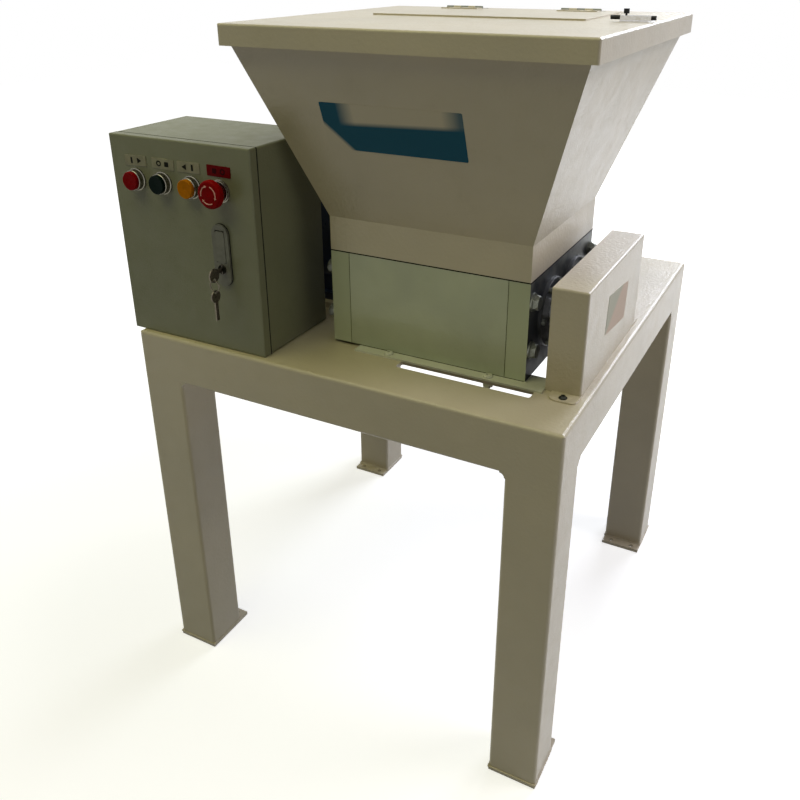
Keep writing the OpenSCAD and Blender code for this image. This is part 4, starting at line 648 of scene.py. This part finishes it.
class SHREDDER_OT_welds(bpy.types.Operator):
    """Weld fillets where the rails meet the legs, and beads round the legs on their feet"""

    bl_idname = "shredder.welds"
    bl_label = "Welds"

    def execute(self, context):
        sizes = context.scene.shredder_sizes
        low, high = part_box("legs")
        leg_w = LEG_W
        rail_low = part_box("apron_rails")[0].z
        r = sizes.weld_r
        # Into the leg's round corner and the rail, so that no gap shows behind the fillet
        fill = 4 * MM
        hollow = [math.radians(90 * i / 8) for i in range(9)]
        for i, normal in enumerate((Vector((0, -1, 0)), Vector((1, 0, 0)), Vector((0, 1, 0)), Vector((-1, 0, 0)))):
            across = Vector((0, 0, 1)).cross(normal)
            out = high.x if normal.x else high.y
            reach = (high.y if normal.x else high.x) - leg_w
            for side in (-1, 1):
                spot = facing(normal * (out - 4 * MM) + across * side * reach + Vector((0, 0, rail_low)), normal)
                outline = [(side * fill, fill), (-side * r, fill)]
                outline += [(side * (-r + r * math.sin(a)), -r + r * math.cos(a)) for a in hollow]
                outline += [(side * fill, -r)]
                prism(f"rail_weld_{i + 1}_{side + 2}", outline, 3.8 * MM, spot, "frame", "weld")
        foot_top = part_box("foot_plates")[1].z
        for i, sx in enumerate((-1, 1)):
            for k, sy in enumerate((-1, 1)):
                x = sorted((sx * high.x, sx * (high.x - leg_w)))
                y = sorted((sy * high.y, sy * (high.y - leg_w)))
                path = around(x[0], y[0], x[1], y[1], foot_top + 0.4 * MM, 3 * MM)
                bead(f"foot_weld_{i + 1}_{k + 1}", path, 1.9 * MM)
        return {"FINISHED"}


class SHREDDER_OT_joint_seal(bpy.types.Operator):
    """The dark sealing strip between the hopper's skirt and the chamber"""

    bl_idname = "shredder.joint_seal"
    bl_label = "Joint seal"

    def execute(self, context):
        low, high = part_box("chamber_front_plate")
        left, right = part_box("chamber_end_left")[0].x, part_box("chamber_end_right")[1].x
        front, rear = low.y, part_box("chamber_rear_plate")[1].y
        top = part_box("hopper_front_panel")[0].z
        proud, t = 0.25 * MM, 1.6 * MM
        form = bmesh.new()
        bands = (
            (left - proud, front - proud, right + proud, front + 1.2 * MM),
            (left - proud, rear - 1.2 * MM, right + proud, rear + proud),
            (left - proud, front + 1.2 * MM, left + 1.2 * MM, rear - 1.2 * MM),
            (right - 1.2 * MM, front + 1.2 * MM, right + proud, rear - 1.2 * MM),
        )
        for x0, y0, x1, y1 in bands:
            centre = Matrix.Translation(((x0 + x1) / 2, (y0 + y1) / 2, top - t * 0.2))
            bmesh.ops.create_cube(form, size=1.0, matrix=centre @ Matrix.Diagonal((x1 - x0, y1 - y0, t, 1)))
        mesh = bpy.data.meshes.new("joint_seal")
        form.to_mesh(mesh)
        form.free()
        piece("joint_seal", mesh, "frame", "black_rubber")
        # The hairline of paint that cracked where the side plates meet the end plates
        for side, x in (("left", low.x), ("right", high.x)):
            spot = facing(Vector((x, front - 0.08 * MM, (low.z + high.z) / 2)), Vector((0, -1, 0)))
            w, h = 0.35 * MM, (high.z - low.z) / 2 - 1.5 * MM
            outline = [(-w, -h), (w, -h), (w, h), (-w, h)]
            prism(f"plate_joint_{side}", outline, 0.12 * MM, spot, "frame", "seam_shadow")
        # A dark line along the foot of the front plate: painted shadow of the gap under the chamber
        spot = facing(Vector(((left + right) / 2, front - 0.08 * MM, low.z + 0.45 * MM)), Vector((0, -1, 0)))
        w, h = (right - left) / 2 - 1.5 * MM, 0.4 * MM
        outline = [(-w, -h), (w, -h), (w, h), (-w, h)]
        prism("foot_painted_shadow", outline, 0.12 * MM, spot, "frame", "seam_shadow")
        return {"FINISHED"}


# --- operators: the studio ---


class SHREDDER_OT_stage(bpy.types.Operator):
    """A pale floor, soft lamps, a plain white surround and the camera"""

    bl_idname = "shredder.stage"
    bl_label = "Stage"

    def execute(self, context):
        scene = context.scene
        studio = scene.shredder_studio
        scene.view_settings.view_transform = "Standard"
        self.floor(scene, scene.shredder_sizes.floor_size)
        self.world(scene, studio)
        self.lamp(scene, "key_lamp", (2.3, 0.6, 3.0), (0.1, 0.0, 0.75), 1.6, studio.key_power, (0.97, 0.93, 1.0))
        self.lamp(scene, "back_lamp", (0.6, 3.2, 2.4), (0.0, 0.0, 0.75), 2.0, studio.back_power, (0.84, 0.89, 1.0))
        self.lamp(scene, "ceiling_lamp", (-0.7, -1.3, 3.4), (0.0, -0.1, 0.7), 2.6, studio.fill_power, (1.0, 0.985, 0.50))
        self.lamp(scene, "low_lamp", (2.4, -0.7, 0.55), (-0.1, -0.25, 0.75), 1.2, studio.low_power, (1.0, 0.96, 0.78))
        self.camera(scene, studio)
        return {"FINISHED"}

    @staticmethod
    def floor(scene, side):
        form = bmesh.new()
        bmesh.ops.create_grid(form, x_segments=1, y_segments=1, size=side / 2)
        mesh = bpy.data.meshes.new("studio_floor")
        form.to_mesh(mesh)
        form.free()
        made = bpy.data.objects.new("studio_floor", mesh)
        scene.collection.objects.link(made)
        made.location.z = -0.2 * MM
        material = bpy.data.materials.new("studio_white")
        material.use_nodes = True
        tree = material.node_tree
        tree.nodes.clear()
        path = add(tree, "ShaderNodeLightPath")
        seen = add(tree, "ShaderNodeMath", {"operation": "MAXIMUM"}, i0=path.outputs["Is Camera Ray"], i1=path.outputs["Is Glossy Ray"])
        matt = add(tree, "ShaderNodeBsdfDiffuse", None, Color=(0.8, 0.8, 0.8, 1))
        # Far from the object the floor glows as bright as the surround, so that no horizon shows
        place = add(tree, "ShaderNodeTexCoord").outputs["Object"]
        reach = add(tree, "ShaderNodeVectorMath", {"operation": "LENGTH"}, i0=place).outputs["Value"]
        glow = add(tree, "ShaderNodeEmission", None, Color=(1, 1, 1, 1), Strength=ramp(tree, reach, 0.7, 2.6, 0.66, 1.0))
        both = add(tree, "ShaderNodeAddShader", None, i0=matt.outputs[0], i1=glow.outputs[0])
        # A workshop floor returns less light than the white that the camera sees
        dim = add(tree, "ShaderNodeBsdfDiffuse", None, Color=(0.30, 0.29, 0.25, 1))
        mix = add(tree, "ShaderNodeMixShader", None, i0=seen.outputs[0], i1=dim.outputs[0], i2=both.outputs[0])
        output = add(tree, "ShaderNodeOutputMaterial")
        tree.links.new(mix.outputs[0], output.inputs[0])
        mesh.materials.append(material)

    @staticmethod
    def world(scene, studio):
        world = bpy.data.worlds.new("studio_surround")
        scene.world = world
        world.use_nodes = True
        tree = world.node_tree
        tree.nodes.clear()
        path = add(tree, "ShaderNodeLightPath")
        seen = add(tree, "ShaderNodeMath", {"operation": "MAXIMUM"}, i0=path.outputs["Is Camera Ray"], i1=path.outputs["Is Glossy Ray"])
        seen = add(tree, "ShaderNodeMath", {"operation": "MAXIMUM"}, i0=seen.outputs[0], i1=path.outputs["Is Transmission Ray"])
        soft = add(tree, "ShaderNodeBackground", None, Color=(1, 0.98, 0.8, 1), Strength=studio.world_level)
        white = add(tree, "ShaderNodeBackground", None, Color=(1, 1, 1, 1), Strength=1.0)
        mix = add(tree, "ShaderNodeMixShader", None, i0=seen.outputs[0], i1=soft.outputs[0], i2=white.outputs[0])
        output = add(tree, "ShaderNodeOutputWorld")
        tree.links.new(mix.outputs[0], output.inputs[0])

    @staticmethod
    def lamp(scene, name, place, target, size, power, colour):
        light = bpy.data.lights.new(name, "AREA")
        light.shape = "DISK"
        light.size = size
        light.energy = power
        light.color = colour
        made = bpy.data.objects.new(name, light)
        scene.collection.objects.link(made)
        made.location = place
        made.rotation_euler = (Vector(target) - Vector(place)).to_track_quat("-Z", "Y").to_euler()

    @staticmethod
    def camera(scene, studio):
        a, e, roll = studio.azimuth, studio.elevation, studio.roll
        forward = Vector((math.sin(a) * math.cos(e), math.cos(a) * math.cos(e), math.sin(e)))
        level = Vector((math.cos(a), -math.sin(a), 0))
        over = level.cross(forward)
        right = level * math.cos(roll) + over * math.sin(roll)
        up = over * math.cos(roll) - level * math.sin(roll)
        lens = bpy.data.cameras.new("photo_camera")
        lens.sensor_fit = "HORIZONTAL"
        lens.sensor_width = 36.0
        lens.lens = 36.0 * studio.focal_share
        lens.shift_x, lens.shift_y = studio.shift_x, studio.shift_y
        lens.clip_start, lens.clip_end = 0.05, 60.0
        made = bpy.data.objects.new("photo_camera", lens)
        scene.collection.objects.link(made)
        turn = Matrix((right, up, -forward)).transposed().to_4x4()
        made.matrix_world = Matrix.Translation(studio.position) @ turn
        scene.camera = made


class SHREDDER_PT_panel(bpy.types.Panel):
    """Lists the steps that dress the shredder"""

    bl_idname = "SHREDDER_PT_panel"
    bl_label = "Shredder"
    bl_space_type = "VIEW_3D"
    bl_region_type = "UI"
    bl_category = "Shredder"

    def draw(self, context):
        for step in STEPS:
            self.layout.operator(step.bl_idname)


STEPS = (
    SHREDDER_OT_finishes,
    SHREDDER_OT_control_labels,
    SHREDDER_OT_lock_trim,
    SHREDDER_OT_stickers,
    SHREDDER_OT_welds,
    SHREDDER_OT_joint_seal,
    SHREDDER_OT_stage,
)
CLASSES = (ShredderPaint, ShredderSizes, ShredderStudio, *STEPS, SHREDDER_PT_panel)


def register():
    for cls in CLASSES:
        bpy.utils.register_class(cls)
    bpy.types.Scene.shredder_paint = bpy.props.PointerProperty(type=ShredderPaint)
    bpy.types.Scene.shredder_sizes = bpy.props.PointerProperty(type=ShredderSizes)
    bpy.types.Scene.shredder_studio = bpy.props.PointerProperty(type=ShredderStudio)


def unregister():
    for name in ("shredder_paint", "shredder_sizes", "shredder_studio"):
        delattr(bpy.types.Scene, name)
    for cls in reversed(CLASSES):
        bpy.utils.unregister_class(cls)


def main():
    register()
    for step in STEPS:
        group, name = step.bl_idname.split(".")
        getattr(getattr(bpy.ops, group), name)()


if __name__ == "__main__":
    main()
